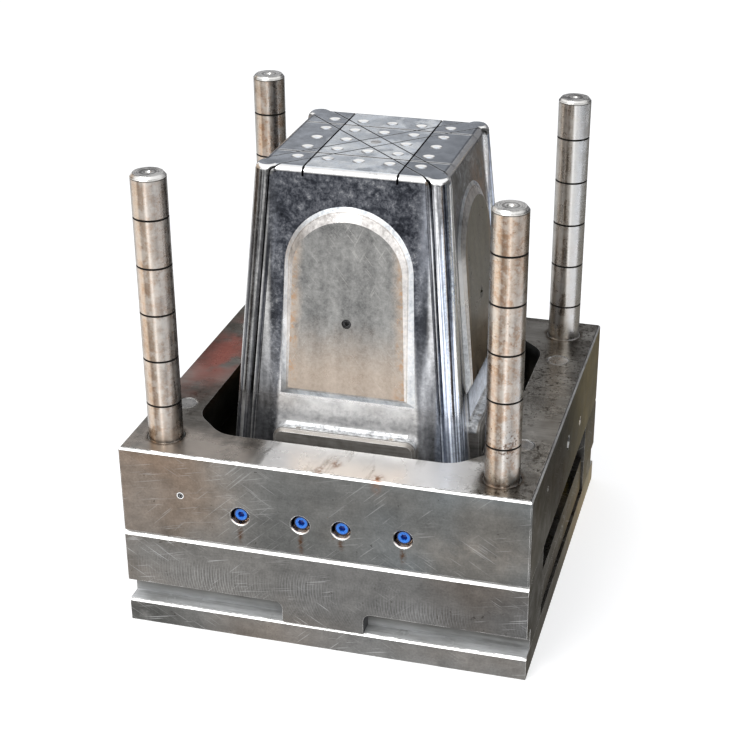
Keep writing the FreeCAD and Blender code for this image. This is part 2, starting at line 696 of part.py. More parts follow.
# ------------------------------------------------------------------ window inserts
def arch_wire(inset_side, inset_top, inset_foot, w):
    """The arch outline in face coordinates: across, up the face, outward."""
    up = 1 / math.cos(WIN_TILT)
    foot = (WIN_BOTTOM + inset_foot - WIN_SPRING) * up
    half_low = WIN_FOOT_HALF - inset_side
    r = WIN_R - inset_side
    rise = WIN_R - inset_top
    k = math.sqrt(0.5)
    low_l, low_r = V(-half_low, foot, w), V(half_low, foot, w)
    end_l, end_r = V(-r, 0, w), V(r, 0, w)
    crown = V(0, rise, w)
    if abs(r - rise) < 0.01:
        left = Part.Arc(end_l, V(-r * k, r * k, w), crown).toShape()
        right = Part.Arc(crown, V(r * k, r * k, w), end_r).toShape()
    else:
        big, small = max(r, rise), min(r, rise)
        major = V(r, 0, w) if r > rise else V(0, rise, w)
        minor = V(0, rise, w) if r > rise else V(-r, 0, w)
        curve = Part.Ellipse(major, minor, V(0, 0, w))
        if r > rise:
            right = curve.toShape(0, math.pi / 2)
            left = curve.toShape(math.pi / 2, math.pi)
        else:
            left = curve.toShape(0, math.pi / 2)
            right = curve.toShape(-math.pi / 2, 0)
    sides = [Part.makeLine(low_l, end_l), left, right,
             Part.makeLine(end_r, low_r), Part.makeLine(low_r, low_l)]
    return Part.Wire(Part.__sortEdges__(sides))


def insert_seat(height):
    """The seated part of an insert, from the bottom of its seat up."""
    return Part.Face(arch_wire(0, 0, 0, -WIN_SEAT)).extrude(V(0, 0, height))


def insert_screw_place(w):
    return V(0, (WIN_HOLE_Z - WIN_SPRING) / math.cos(WIN_TILT), w)


def insert_thread():
    start = insert_screw_place(-WIN_SEAT + AIR)
    return Part.makeCylinder(WIN_SCREW_R, WIN_SCREW_L - WIN_SEAT, start, V(0, 0, -1))


def window_insert():
    seat = insert_seat(WIN_SEAT)
    raised = Part.makeLoft([arch_wire(0, 0, 0, 0),
                            arch_wire(WIN_BEVEL, WIN_BEVEL_TOP, WIN_BEVEL_FOOT, WIN_RAISE)],
                           True, True)
    thick = WIN_SEAT + WIN_RAISE
    head = insert_screw_place(WIN_RAISE - WIN_HEAD_DROP - WIN_HEAD_H)
    below = insert_screw_place(-WIN_SEAT - 1)
    cutters = [Part.makeCylinder(WIN_HEAD_R + AIR, thick, head),
               Part.makeCylinder(WIN_SCREW_R + AIR, thick + 2, below)]
    return seat.fuse(raised).removeSplitter().cut(cutters)


def window_screw():
    under_head = WIN_RAISE - WIN_HEAD_DROP - WIN_HEAD_H
    head = Part.makeCylinder(WIN_HEAD_R, WIN_HEAD_H, insert_screw_place(under_head))
    shank_l = under_head + WIN_SCREW_L - AIR
    shank = Part.makeCylinder(WIN_SCREW_R, shank_l, insert_screw_place(under_head - shank_l))
    socket_z = under_head + WIN_HEAD_H - WIN_SOCKET_DEPTH
    socket = hexagon(insert_screw_place(socket_z), UP, WIN_SOCKET_R, WIN_SOCKET_DEPTH + 1)
    return head.fuse(shank).cut(socket)


def on_face(shape, quarter):
    """Carry a shape from face coordinates onto one of the four faces."""
    tilt = math.degrees(WIN_TILT)
    out = shape.copy()
    out.rotate(V(0, 0, 0), V(1, 0, 0), 90.0 - tilt)
    out.translate(V(0, -core_half(WIN_SPRING), WIN_SPRING))
    return turned(out, quarter)


# ------------------------------------------------------------------ round parts
def guide_pillar(x, y):
    body = rod(x, y, Z_PLATE, PILLAR_TOP, PILLAR_R)
    rim = edges_where(body, lambda b: b.ZMin > PILLAR_TOP - 0.1)
    body = body.makeChamfer(PILLAR_BEVEL_H, PILLAR_BEVEL, rim)
    body = body.fuse(rod(x, y, Z_PLATE, Z_PLATE + PILLAR_HEAD_T, PILLAR_HEAD_R))
    tools = []
    for i in range(GROOVES):
        z = PILLAR_TOP - GROOVE_FIRST - i * GROOVE_PITCH
        tools.append(tube(x, y, z - GROOVE_W / 2, z + GROOVE_W / 2,
                          PILLAR_R + 5, PILLAR_R - GROOVE_D))
    tools.append(cone(x, y, PILLAR_TOP - CENTRE_DEPTH, PILLAR_TOP, 0.5, CENTRE_R))
    return body.cut(tools).removeSplitter()


def ejector_guide_pin(x, y):
    head = rod(x, y, HEAD_SINK, HEAD_SINK + EGUIDE_HEAD_T, EGUIDE_HEAD_R)
    shank = rod(x, y, HEAD_SINK, Z_PLATE + EGUIDE_IN, EGUIDE_R)
    return head.fuse(shank).removeSplitter()


def ejector_bush(x, y):
    body = tube(x, y, Z_BACK, Z_EJ_TOP, BUSH_R, EGUIDE_R + SLIDE_FIT)
    flange = tube(x, y, Z_RETAIN - BUSH_FLANGE_T, Z_RETAIN, BUSH_FLANGE_R, BUSH_R - 1)
    return body.fuse(flange).removeSplitter()


def headed_pin(x, y, r, z1, head_r, head_t):
    head = rod(x, y, Z_RETAIN, Z_RETAIN + head_t, head_r)
    shank = rod(x, y, Z_RETAIN, z1, r)
    return head.fuse(shank).removeSplitter()


def support_pillar(x, y):
    body = rod(x, y, Z_RAIL, Z_PLATE, SUPPORT_R)
    return body.cut(rod(x, y, Z_RAIL - 1, SUPPORT_SCREW_TOP, M12_R))


def rest_button(x, y):
    disc = rod(x, y, Z_RAIL, Z_BACK, REST_R)
    peg = rod(x, y, Z_RAIL - REST_PEG_L, Z_RAIL, REST_PEG_R)
    return disc.fuse(peg).removeSplitter()


def knockout_bush():
    body = rod(0, 0, Z_BACK, Z_RETAIN, KO_BUSH_R)
    flange = rod(0, 0, Z_RETAIN - KO_FLANGE_T, Z_RETAIN, KO_FLANGE_R)
    return body.fuse(flange).removeSplitter().cut(
        rod(0, 0, Z_BACK - 1, Z_RETAIN + 1, KO_THREAD_R))


# ------------------------------------------------------------------ ejector plates
def ejector_plate(z0, z1):
    plate = box(-EJ_HALF_X, EJ_HALF_X, -EJ_HALF_Y, EJ_HALF_Y, z0, z1)
    rims = edges_where(plate, lambda b: b.ZLength > 1)
    plate = plate.makeChamfer(CORNER_BREAK, rims)
    tools = [rod(x, y, z0 - 1, z1 + 1, SUPPORT_HOLE_R) for x, y in four(SUPPORT_AT)]
    tools += [rod(x, y, z0 - 1, z1 + 1, BUSH_R) for x, y in four(EGUIDE_AT)]
    return plate, tools


def backing_plate():
    plate, tools = ejector_plate(Z_BACK, Z_RETAIN)
    for x, y in four(EGUIDE_AT):
        tools.append(rod(x, y, Z_RETAIN - BUSH_FLANGE_T, Z_RETAIN + 1, BUSH_FLANGE_R))
    tools.append(rod(0, 0, Z_BACK - 1, Z_RETAIN + 1, KO_BUSH_R))
    tools.append(rod(0, 0, Z_RETAIN - KO_FLANGE_T, Z_RETAIN + 1, KO_FLANGE_R))
    for x, y in many(EJ_SCREW_AT):
        tools.append(rod(x, y, Z_BACK - 1, Z_BACK + HEAD_SINK + M12_HEAD_T, M12_HEAD_R + AIR))
        tools.append(rod(x, y, Z_BACK, Z_RETAIN + 1, M12_R + AIR))
    return plate.cut(tools)


def retainer_plate():
    plate, tools = ejector_plate(Z_RETAIN, Z_EJ_TOP)
    pins = [(four(RETURN_AT), RETURN_R, RETURN_HEAD_R, RETURN_HEAD_T),
            (four(LEG_ROD_AT), LEG_ROD_R, LEG_ROD_HEAD_R, LEG_ROD_HEAD_T),
            (skirt_points(), SKIRT_R, SKIRT_HEAD_R, SKIRT_HEAD_T)]
    for points, r, head_r, head_t in pins:
        for x, y in points:
            tools.append(rod(x, y, Z_RETAIN - 1, Z_RETAIN + head_t, head_r))
            tools.append(rod(x, y, Z_RETAIN, Z_EJ_TOP + 1, r))
    for x, y in many(EJ_SCREW_AT):
        tools.append(rod(x, y, Z_RETAIN - 1, EJ_SCREW_TOP, M12_R))
    return plate.cut(tools)


# ------------------------------------------------------------------ water parts
def water_plug(x):
    inward = V(0, 1, 0)
    face = -HALF + PLUG_SINK
    body = lay(V(x, face, PORT_Z), inward, PLUG_T, PLUG_R)
    rim = edges_where(body, lambda b: b.YMax < face + 0.1)
    body = body.makeChamfer(1.0, rim)
    body = body.fuse(lay(V(x, face + PLUG_T, PORT_Z), inward, PLUG_BODY_L, PLUG_BODY_R))
    socket = hexagon(V(x, face - 1, PORT_Z), inward, PLUG_HEX, 1 + PLUG_HEX_DEPTH)
    return body.cut(socket)


def cross_plug(side):
    middle = V(-side, 0, 0)
    start = V(side * (HALF - CROSS_PLUG_SINK), CROSS_Y, PORT_Z)
    body = lay(start, middle, CROSS_PLUG_L, CROSS_PLUG_R)
    return body.cut(hexagon(start, middle, CROSS_PLUG_HEX, PLUG_HEX_DEPTH))


def baffle(x, y):
    plug = rod(x, y, BAFFLE_PLUG_Z0, BAFFLE_PLUG_Z1, WELL_R)
    w = WELL_R - BAFFLE_AIR
    blade = box(x - w, x + w, y - BAFFLE_T / 2, y + BAFFLE_T / 2,
                BAFFLE_PLUG_Z1 - 1, well_top(x) - WELL_END_GAP)
    return plug.fuse(blade).removeSplitter()


def seal_ring(x, y):
    return tube(x, y, Z_SEAT - RING_T, Z_SEAT, RING_OUT, RING_IN)


# ------------------------------------------------------------------ air poppet
def air_poppet():
    z1 = Z_CORE
    head = cone(0, 0, z1 - POPPET_CONE_H, z1, POPPET_NECK_R, POPPET_HEAD_R)
    stem = rod(0, 0, POPPET_Z0, z1 - POPPET_CONE_H, POPPET_STEM_R)
    w = POPPET_SLOT_W / 2
    slot = box(-POPPET_HEAD_R, POPPET_HEAD_R, -w, w, z1 - POPPET_SLOT_DEPTH, z1 + 1)
    return head.fuse(stem).removeSplitter().cut(slot)


def main():
    save("bottom_clamp_plate", clamp_plate())
    rail = front_rail()
    save("front_spacer_rail", rail)
    save("rear_spacer_rail", turned(rail, 2))
    save("core_plate", core_plate())
    save("core_block", core_block())
    bar = skirt_bar()
    group("skirt_bars", [turned(bar, q) for q in range(4)])
    group("skirt_bar_screws", [turned(bar_screw(x), q)
                               for q in range(4) for x in (-BAR_SCREW_X, BAR_SCREW_X)])

    insert = window_insert()
    for q, side in enumerate(["front", "right", "rear", "left"]):
        save(side + "_window_insert", on_face(insert, q))
    group("window_insert_screws", [on_face(window_screw(), q) for q in range(4)])

    names = {(-1, -1): "front_left", (1, -1): "front_right",
             (-1, 1): "rear_left", (1, 1): "rear_right"}
    for sx, sy in leg_corners():
        save("guide_pillar_" + names[(sx, sy)], guide_pillar(sx * PILLAR_AT, sy * PILLAR_AT))

    group("support_pillars", [support_pillar(x, y) for x, y in four(SUPPORT_AT)])
    group("support_pillar_screws",
          [cap_screw(x, y, HEAD_SINK, SUPPORT_SCREW_TOP, M12_R, M12_HEAD_R, M12_HEAD_T)
           for x, y in four(SUPPORT_AT)])
    group("rest_buttons", [rest_button(x, y) for x, y in many(REST_AT)])
    group("clamp_screws",
          [cap_screw(x, y, HEAD_SINK, CLAMP_SCREW_TOP, CLAMP_SCREW_R, CLAMP_HEAD_R, CLAMP_HEAD_T)
           for x, y in many(CLAMP_SCREW_AT)])
    group("dowel_pins", [rod(x, y, DOWEL_Z0, DOWEL_Z1, DOWEL_R) for x, y in four(DOWEL_AT)])
    group("core_block_screws",
          [cap_screw(x, y, Z_PLATE + HEAD_SINK, CORE_SCREW_TOP, CORE_SCREW_R, CORE_HEAD_R,
                     CORE_HEAD_T) for x, y in many(CORE_SCREW_AT)])
    group("ejector_guide_pins", [ejector_guide_pin(x, y) for x, y in four(EGUIDE_AT)])

    group("water_port_plugs", [water_plug(x) for x in PORT_X])
    group("channel_end_plugs", [cross_plug(s) for s in (-1, 1)])
    group("cooling_baffles", [baffle(x, y) for x, y in well_points()])
    group("core_seal_rings", [seal_ring(x, y) for x, y in well_points()])

    save("ejector_backing_plate", backing_plate())
    save("ejector_retainer_plate", retainer_plate())
    group("ejector_plate_screws",
          [cap_screw(x, y, Z_BACK + HEAD_SINK, EJ_SCREW_TOP, M12_R, M12_HEAD_R, M12_HEAD_T)
           for x, y in many(EJ_SCREW_AT)])
    group("ejector_guide_bushes", [ejector_bush(x, y) for x, y in four(EGUIDE_AT)])
    save("knockout_bush", knockout_bush())
    group("return_pins", [headed_pin(x, y, RETURN_R, Z_TOP, RETURN_HEAD_R, RETURN_HEAD_T)
                          for x, y in four(RETURN_AT)])
    group("leg_ejector_rods",
          [headed_pin(x, y, LEG_ROD_R, Z_BLOCK + LEG_ROD_IN, LEG_ROD_HEAD_R, LEG_ROD_HEAD_T)
           for x, y in four(LEG_ROD_AT)])
    blocks = []
    for sx, sy in leg_corners():
        blank = leg_block_blank(sx, sy, Z_BLOCK, Z_FLOOR, 0.0)
        x, y = sx * LEG_ROD_AT[0], sy * LEG_ROD_AT[1]
        hole = rod(x, y, Z_BLOCK - 1, Z_BLOCK + LEG_ROD_IN, LEG_ROD_R)
        blocks.append(blank.cut(hole))
    group("leg_ejector_blocks", blocks)
    group("skirt_ejector_pins", [headed_pin(x, y, SKIRT_R, Z_TOP, SKIRT_HEAD_R, SKIRT_HEAD_T)
                                 for x, y in skirt_points()])
    group("return_springs", [spring(x, y, Z_EJ_TOP, Z_SPRING, SPRING_IN, SPRING_OUT,
                                    SPRING_WIRE, SPRING_COILS) for x, y in four(RETURN_AT)])

    save("air_poppet", air_poppet())
    save("air_poppet_guide", tube(0, 0, GUIDE_Z0, AIR_ROOF, AIR_BORE_R, POPPET_STEM_R + SLIDE_FIT))
    save("air_poppet_nut", tube(0, 0, POPPET_Z0, POPPET_Z0 + NUT_T, NUT_R, POPPET_STEM_R))
    save("air_poppet_spring", spring(0, 0, POPPET_Z0 + NUT_T, GUIDE_Z0, PSPRING_IN, PSPRING_OUT,
                                     PSPRING_WIRE, PSPRING_COILS))


main()
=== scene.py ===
import math

import bmesh
import bpy
from mathutils import Matrix, Vector


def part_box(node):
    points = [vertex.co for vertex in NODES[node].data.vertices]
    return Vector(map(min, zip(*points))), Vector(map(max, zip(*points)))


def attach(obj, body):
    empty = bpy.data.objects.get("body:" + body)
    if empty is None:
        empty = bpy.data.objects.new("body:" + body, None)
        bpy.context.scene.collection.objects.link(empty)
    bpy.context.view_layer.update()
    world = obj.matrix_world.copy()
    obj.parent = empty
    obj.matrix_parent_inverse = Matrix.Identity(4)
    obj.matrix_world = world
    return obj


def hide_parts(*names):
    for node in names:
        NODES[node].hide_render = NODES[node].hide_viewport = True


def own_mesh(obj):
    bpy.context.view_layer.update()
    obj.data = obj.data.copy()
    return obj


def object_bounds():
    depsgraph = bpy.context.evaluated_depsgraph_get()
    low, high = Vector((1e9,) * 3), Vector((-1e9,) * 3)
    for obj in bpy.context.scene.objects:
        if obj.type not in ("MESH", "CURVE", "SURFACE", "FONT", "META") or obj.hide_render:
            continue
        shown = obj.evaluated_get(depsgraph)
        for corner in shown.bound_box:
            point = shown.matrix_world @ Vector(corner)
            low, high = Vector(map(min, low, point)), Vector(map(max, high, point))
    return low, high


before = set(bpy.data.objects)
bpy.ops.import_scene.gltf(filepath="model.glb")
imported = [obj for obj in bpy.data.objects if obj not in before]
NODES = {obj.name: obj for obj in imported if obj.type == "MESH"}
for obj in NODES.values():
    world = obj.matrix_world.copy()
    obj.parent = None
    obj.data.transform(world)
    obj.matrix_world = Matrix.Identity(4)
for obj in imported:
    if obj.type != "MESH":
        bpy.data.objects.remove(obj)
CAD_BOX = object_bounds()

# ------------------------------------------------------------------ places read from the frame
PLATE_LO, PLATE_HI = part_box("core_plate")
CORE_LO, CORE_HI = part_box("core_block")
PLUGS_LO, PLUGS_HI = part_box("water_port_plugs")
PILLAR_LO, PILLAR_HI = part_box("guide_pillar_rear_right")
HALF = PLATE_HI.x
Z_TOP = PLATE_HI.z
Z_JOINT = PLATE_LO.z
Z_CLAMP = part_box("bottom_clamp_plate")[1].z
Z_CORE = CORE_HI.z
PORT_Z = (PLUGS_LO.z + PLUGS_HI.z) / 2
BAR_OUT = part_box("skirt_bars")[1].x
PILLAR_MIDDLE = (PILLAR_LO.x + PILLAR_HI.x) / 2
PILLAR_TOP = PILLAR_HI.z

# ------------------------------------------------------------------ sizes of the part, in metres
PILLAR_R = 0.025
CAP_BEVEL = 0.0058
PORT_X = (-0.120, -0.030, 0.030, 0.120)
PORT_R = 0.0135
STRAP_HOLE = (-0.209, Z_JOINT + 0.070)
STRAP_R = 0.0042
POCKET_HALF = 0.236
SLOT_TOP = Z_CLAMP + 0.034
SLOT_DEPTH = 0.026
RIB_PLACE = 0.0675
DIAGONAL_OFFSET = 0.017
ROOF_EDGE = 0.016
GROOVE_FLOOR = 0.0126
CORE_TOP_HALF = 0.1334
CORE_DRAFT = (CORE_HI.x - CORE_TOP_HALF) / (CORE_HI.z - CORE_LO.z)
EJECTOR_STROKE = 0.045
RETURN_COIL = {"radii": (0.0175, 0.0245), "wire": 0.005, "coils": 7}
POPPET_LIFT = 0.004
POPPET_COIL = {"radii": (0.0048, 0.0074), "wire": 0.0014, "coils": 4}

# ------------------------------------------------------------------ camera
CAMERA_AT = Vector((0.6154, -2.1762, 1.4097))
CAMERA_AZIMUTH = math.radians(14.54)
CAMERA_ELEVATION = math.radians(26.50)
CAMERA_ROLL = math.radians(0.21)
CAMERA_LENS = 80.78
CAMERA_SHIFT = (-0.0610, 0.0299)


def make_camera():
    """A fixed camera: a long lens, a little above the object and to its right."""
    data = bpy.data.cameras.new("camera")
    data.lens = CAMERA_LENS
    data.shift_x, data.shift_y = CAMERA_SHIFT
    camera = bpy.data.objects.new("camera", data)
    turn = Matrix.Rotation(CAMERA_AZIMUTH, 4, "Z")
    tilt = Matrix.Rotation(math.pi / 2 - CAMERA_ELEVATION, 4, "X")
    roll = Matrix.Rotation(CAMERA_ROLL, 4, "Z")
    camera.matrix_world = Matrix.Translation(CAMERA_AT) @ turn @ tilt @ roll
    bpy.context.collection.objects.link(camera)
    bpy.context.scene.camera = camera


# ------------------------------------------------------------------ shader helper
SEED_STEP = 1.7


class Shader:
    """One Principled material, with short calls for the nodes that feed it."""

    def __init__(self, name, metallic=1.0, roughness=0.4, **inputs):
        self.material = bpy.data.materials.new(name)
        self.material.use_nodes = True
        self.tree = self.material.node_tree
        self.bsdf = self.tree.nodes["Principled BSDF"]
        self.bsdf.inputs["Metallic"].default_value = metallic
        self.bsdf.inputs["Roughness"].default_value = roughness
        for key, value in inputs.items():
            self.bsdf.inputs[key.replace("_", " ")].default_value = value
        coordinates = self.tree.nodes.new("ShaderNodeTexCoord")
        self.place = coordinates.outputs["Object"]
        self.normal = coordinates.outputs["Normal"]
        self.x, self.y, self.z = self.split(self.place)
        self.seed = 0.0

    def put(self, socket, value):
        if isinstance(value, bpy.types.NodeSocket):
            self.tree.links.new(value, socket)
        else:
            socket.default_value = value

    def split(self, vector):
        node = self.tree.nodes.new("ShaderNodeSeparateXYZ")
        self.put(node.inputs[0], vector)
        return node.outputs[0], node.outputs[1], node.outputs[2]

    def join(self, x, y, z):
        node = self.tree.nodes.new("ShaderNodeCombineXYZ")
        for socket, value in zip(node.inputs, (x, y, z)):
            self.put(socket, value)
        return node.outputs[0]

    def math(self, operation, a, b=0.0):
        node = self.tree.nodes.new("ShaderNodeMath")
        node.operation = operation
        for socket, value in zip(node.inputs, (a, b)):
            self.put(socket, value)
        return node.outputs[0]

    def add(self, a, b):
        return self.math("ADD", a, b)

    def minus(self, a, b):
        return self.math("SUBTRACT", a, b)

    def times(self, a, b):
        return self.math("MULTIPLY", a, b)

    def most(self, a, b):
        return self.math("MAXIMUM", a, b)

    def least(self, a, b):
        return self.math("MINIMUM", a, b)

    def absolute(self, a):
        return self.math("ABSOLUTE", a)

    def distance(self, a, b):
        return self.math("SQRT", self.add(self.times(a, a), self.times(b, b)))

    def swing(self, noise, reach):
        """A noise moved to swing about zero, with reach between its two ends."""
        return self.times(self.minus(noise, 0.5), reach)

    def fade(self, value, start, end, low=0.0, high=1.0):
        """A smooth step from low at start to high at end."""
        node = self.tree.nodes.new("ShaderNodeMapRange")
        node.interpolation_type = "SMOOTHSTEP"
        for socket, number in zip(node.inputs[:5], (value, start, end, low, high)):
            self.put(socket, number)
        return node.outputs[0]

    def window(self, value, low, high, soft):
        """1 between low and high, falling to 0 over soft on both sides."""
        rise = self.fade(value, low - soft, low + soft)
        fall = self.fade(value, high + soft, high - soft)
        return self.times(rise, fall)

    def spot(self, centre, sizes):
        """1 at centre, 0 at one size away along each axis; a size of 0 ignores that axis."""
        total = None
        for axis, middle, size in zip((self.x, self.y, self.z), centre, sizes):
            if size:
                offset = self.times(self.minus(axis, middle), 1 / size)
                square = self.times(offset, offset)
                total = square if total is None else self.add(total, square)
        return self.fade(self.math("SQRT", total), 1.0, 0.0)

    def line(self, value, place, half):
        """1 where the size of value lies within half of place."""
        away = self.absolute(self.minus(self.absolute(value), place))
        return self.fade(away, half + 0.0004, half - 0.0004)

    def noise(self, scale, detail=3.0, rough=0.55, stretch=(1, 1, 1), vector=None):
        """Noise in object space; each call draws its own pattern."""
        mapping = self.tree.nodes.new("ShaderNodeMapping")
        self.put(mapping.inputs["Vector"], vector or self.place)
        mapping.inputs["Scale"].default_value = stretch
        node = self.tree.nodes.new("ShaderNodeTexNoise")
        node.noise_dimensions = "4D"
        self.seed += SEED_STEP
        self.put(node.inputs["Vector"], mapping.outputs[0])
        node.inputs["W"].default_value = self.seed
        node.inputs["Scale"].default_value = scale
        node.inputs["Detail"].default_value = detail
        node.inputs["Roughness"].default_value = rough
        return node.outputs[0]

    def mix(self, factor, a, b, blend="MIX"):
        node = self.tree.nodes.new("ShaderNodeMix")
        node.data_type = "RGBA"
        node.blend_type = blend
        self.put(node.inputs[0], factor)
        self.put(node.inputs[6], paint(a))
        self.put(node.inputs[7], paint(b))
        return node.outputs[2]

    def scaled(self, color, by):
        return self.mix(1.0, color, by, "MULTIPLY")

    def tint(self, factor, color, by):
        """Multiply a colour by another where factor is 1."""
        return self.mix(factor, color, self.scaled(color, by))

    def ramp(self, factor, *stops):
        """A colour ramp, with stops given as a place and a colour each."""
        node = self.tree.nodes.new("ShaderNodeValToRGB")
        elements = node.color_ramp.elements
        while len(elements) < len(stops):
            elements.new(0.5)
        for element, (place, color) in zip(elements, stops):
            element.position = place
            element.color = paint(color)
        self.put(node.inputs[0], factor)
        return node.outputs[0]

    def edge(self, radius, samples=4):
        """1 near sharp edges, found by comparing a rounded normal with the true one."""
        bevel = self.tree.nodes.new("ShaderNodeBevel")
        bevel.samples = samples
        bevel.inputs["Radius"].default_value = radius
        geometry = self.tree.nodes.new("ShaderNodeNewGeometry")
        dot = self.tree.nodes.new("ShaderNodeVectorMath")
        dot.operation = "DOT_PRODUCT"
        self.put(dot.inputs[0], bevel.outputs[0])
        self.put(dot.inputs[1], geometry.outputs["True Normal"])
        return self.fade(dot.outputs["Value"], 0.995, 0.90)

    def bump(self, *layers):
        """Chain height layers, each a value and its depth in metres."""
        normal = None
        for height, depth in layers:
            node = self.tree.nodes.new("ShaderNodeBump")
            node.inputs["Distance"].default_value = depth
            self.put(node.inputs["Height"], height)
            if normal is not None:
                self.put(node.inputs["Normal"], normal)
            normal = node.outputs[0]
        self.put(self.bsdf.inputs["Normal"], normal)

    def color(self, value):
        self.put(self.bsdf.inputs["Base Color"], value)

    def roughness(self, value):
        self.put(self.bsdf.inputs["Roughness"], value)

    def metallic(self, value):
        self.put(self.bsdf.inputs["Metallic"], value)


def paint(color):
    """A grey level, an RGB triple or a socket, made fit for a colour socket."""
    if isinstance(color, bpy.types.NodeSocket):
        return color
    if isinstance(color, (int, float)):
        return (color, color, color, 1.0)
    return (*color, 1.0)


# ------------------------------------------------------------------ steels
RUST = (0.17, 0.075, 0.035)
WHITE = (1.0, 1.0, 1.0)
SCORE_STRETCH = 0.035


def scratches(s, scale, tilt):
    """Thin straight scores in an upright face, tilted from level: peaks of a long, narrow noise."""
    end_face = s.fade(s.absolute(s.split(s.normal)[0]), 0.60, 0.75)
    swap = s.times(s.minus(s.y, s.x), end_face)
    along, depth = s.add(s.x, swap), s.minus(s.y, swap)
    length = s.add(s.times(along, math.cos(tilt)), s.times(s.z, math.sin(tilt)))
    width = s.add(s.times(along, -math.sin(tilt)), s.times(s.z, math.cos(tilt)))
    field = s.noise(scale, 0.0, vector=s.join(s.times(length, SCORE_STRETCH), depth, width))
    patch = s.fade(s.noise(9, 2.0), 0.48, 0.60)
    return s.times(s.fade(field, 0.675, 0.735), patch)


def rust_spots(s, scale, amount, patch_scale=7.0):
    """Fine specks that gather in patches; a larger amount gives more of them."""
    grain = s.noise(scale, 5.0, 0.65)
    patch = s.noise(patch_scale, 2.0, 0.5)
    level = s.add(grain, s.swing(patch, 0.7))
    return s.fade(level, 0.74 - amount, 0.82 - amount)


def plate_steel(name, dark, light, arcs=None):
    """Sides of a milled plate: mottle, grain along X, pits, brown clouds; see finish_plate."""
    s = Shader(name, roughness=0.45, Specular_Tint=(0.45, 0.44, 0.42, 1.0))
    nx, _, nz = s.split(s.normal)
    up = s.fade(nz, 0.90, 0.97)
    tilted = s.times(s.fade(s.absolute(nz), 0.25, 0.40), s.fade(s.absolute(nz), 0.97, 0.90))
    side = s.fade(nx, 0.80, 0.95)

    clouds = s.noise(5.0, 4.0, 0.6)
    mottle = s.noise(38.0, 5.0, 0.65)
    grain = s.noise(420.0, 3.0, 0.6, stretch=(0.05, 1, 1))
    bands = s.noise(30.0, 2.0, 0.5, stretch=(0.12, 1, 1))
    peppered = s.noise(310.0, 3.0, 0.7)
    tone = s.add(s.add(s.times(clouds, 0.30), s.times(peppered, 0.24)),
                 s.add(s.times(mottle, 0.26), s.times(bands, 0.20)))
    color = s.ramp(tone, (0.38, dark), (0.62, light))
    pits = s.fade(s.noise(125.0, 2.0, 0.5), 0.70, 0.74)
    color = s.mix(s.times(pits, 0.60), color, (0.05, 0.042, 0.036))
    brown = s.times(s.fade(s.noise(3.2, 3.0), 0.46, 0.62), 0.55)
    color = s.tint(brown, color, (1.0, 0.80, 0.64))
    color = s.tint(s.times(s.fade(grain, 0.35, 0.65), 0.14), color, 0.55)
    if arcs:
        color = s.mix(arcs(s), color, 0.62)
    return s, up, tilted, side, color, mottle, grain


def finish_plate(s, up, tilted, side, color, mottle, grain, top_dark, top_light,
                 lines=0.4, rim_top=1.0):
    """Put the ground top, painted shade on the right side (painted light towards its rear),
    chamfers with a painted highlight, scratches and rust over the sides.
    """
    ground = s.noise(260.0, 2.0, 0.5, stretch=(0.03, 1.0, 1.0))
    stain = s.noise(11.0, 4.0, 0.6)
    top = s.ramp(s.add(s.times(stain, 0.75), s.times(ground, 0.25)),
                 (0.38, top_dark), (0.62, top_light))
    eaten = s.times(s.fade(s.noise(90.0, 5.0, 0.75), 0.535, 0.575),
                    s.fade(s.noise(13.0, 3.0), 0.48, 0.60))
    top = s.mix(s.times(eaten, 0.75), top, (0.055, 0.045, 0.036))
    color = s.mix(up, color, top)
    # Painted shade: the +X side is darkened at the front and lightened towards the rear, for how
    # light falls on it.
    right_side_painted_shade = s.mix(s.fade(s.y, -0.08, 0.24), (0.36, 0.33, 0.28), (1.95, 1.66, 1.05))
    color = s.tint(side, color, right_side_painted_shade)
    # Painted highlight: chamfers are coloured bright, and painted darker along their top edge.
    rim = s.ramp(s.noise(26.0, 4.0, 0.6), (0.30, (0.62, 0.61, 0.60)), (0.52, (0.95, 0.95, 0.94)))
    high = s.fade(s.z, rim_top - 0.0016, rim_top - 0.0006)
    rim = s.mix(s.times(high, s.fade(mottle, 0.34, 0.52, 0.35, 1.0)), rim, (0.050, 0.050, 0.049))
    color = s.mix(tilted, color, rim)
    wear = s.edge(0.0012)
    color = s.mix(s.times(wear, s.fade(mottle, 0.35, 0.6)), color, (0.80, 0.79, 0.77))
    marks = s.most(scratches(s, 420, 0.75), scratches(s, 520, 0.22))
    marks = s.most(marks, scratches(s, 470, -0.55))
    color = s.mix(s.times(marks, lines), color, 0.60)
    blotch = s.times(s.minus(1.0, s.most(up, tilted)), 0.65)
    soil = s.ramp(s.noise(48.0, 6.0, 0.72), (0.36, 0.80), (0.50, 1.0), (0.64, 1.22))
    color = s.tint(blotch, color, soil)
    rust = rust_spots(s, 95.0, 0.0)
    color = s.mix(s.times(rust, 0.75), color, RUST)
    s.color(color)
    rough = s.fade(mottle, 0.3, 0.7, 0.36, 0.50)
    ground_rough = s.fade(stain, 0.35, 0.65, 0.22, 0.34)
    rough = s.add(s.times(rough, s.minus(1.0, up)), s.times(up, ground_rough))
    s.roughness(s.most(rough, s.times(rust, 0.75)))
    s.metallic(s.fade(rust, 0.0, 1.0, 1.0, 0.35))
    s.bump((grain, 0.00008), (mottle, 0.00018), (rust, 0.00010))
    return s.material


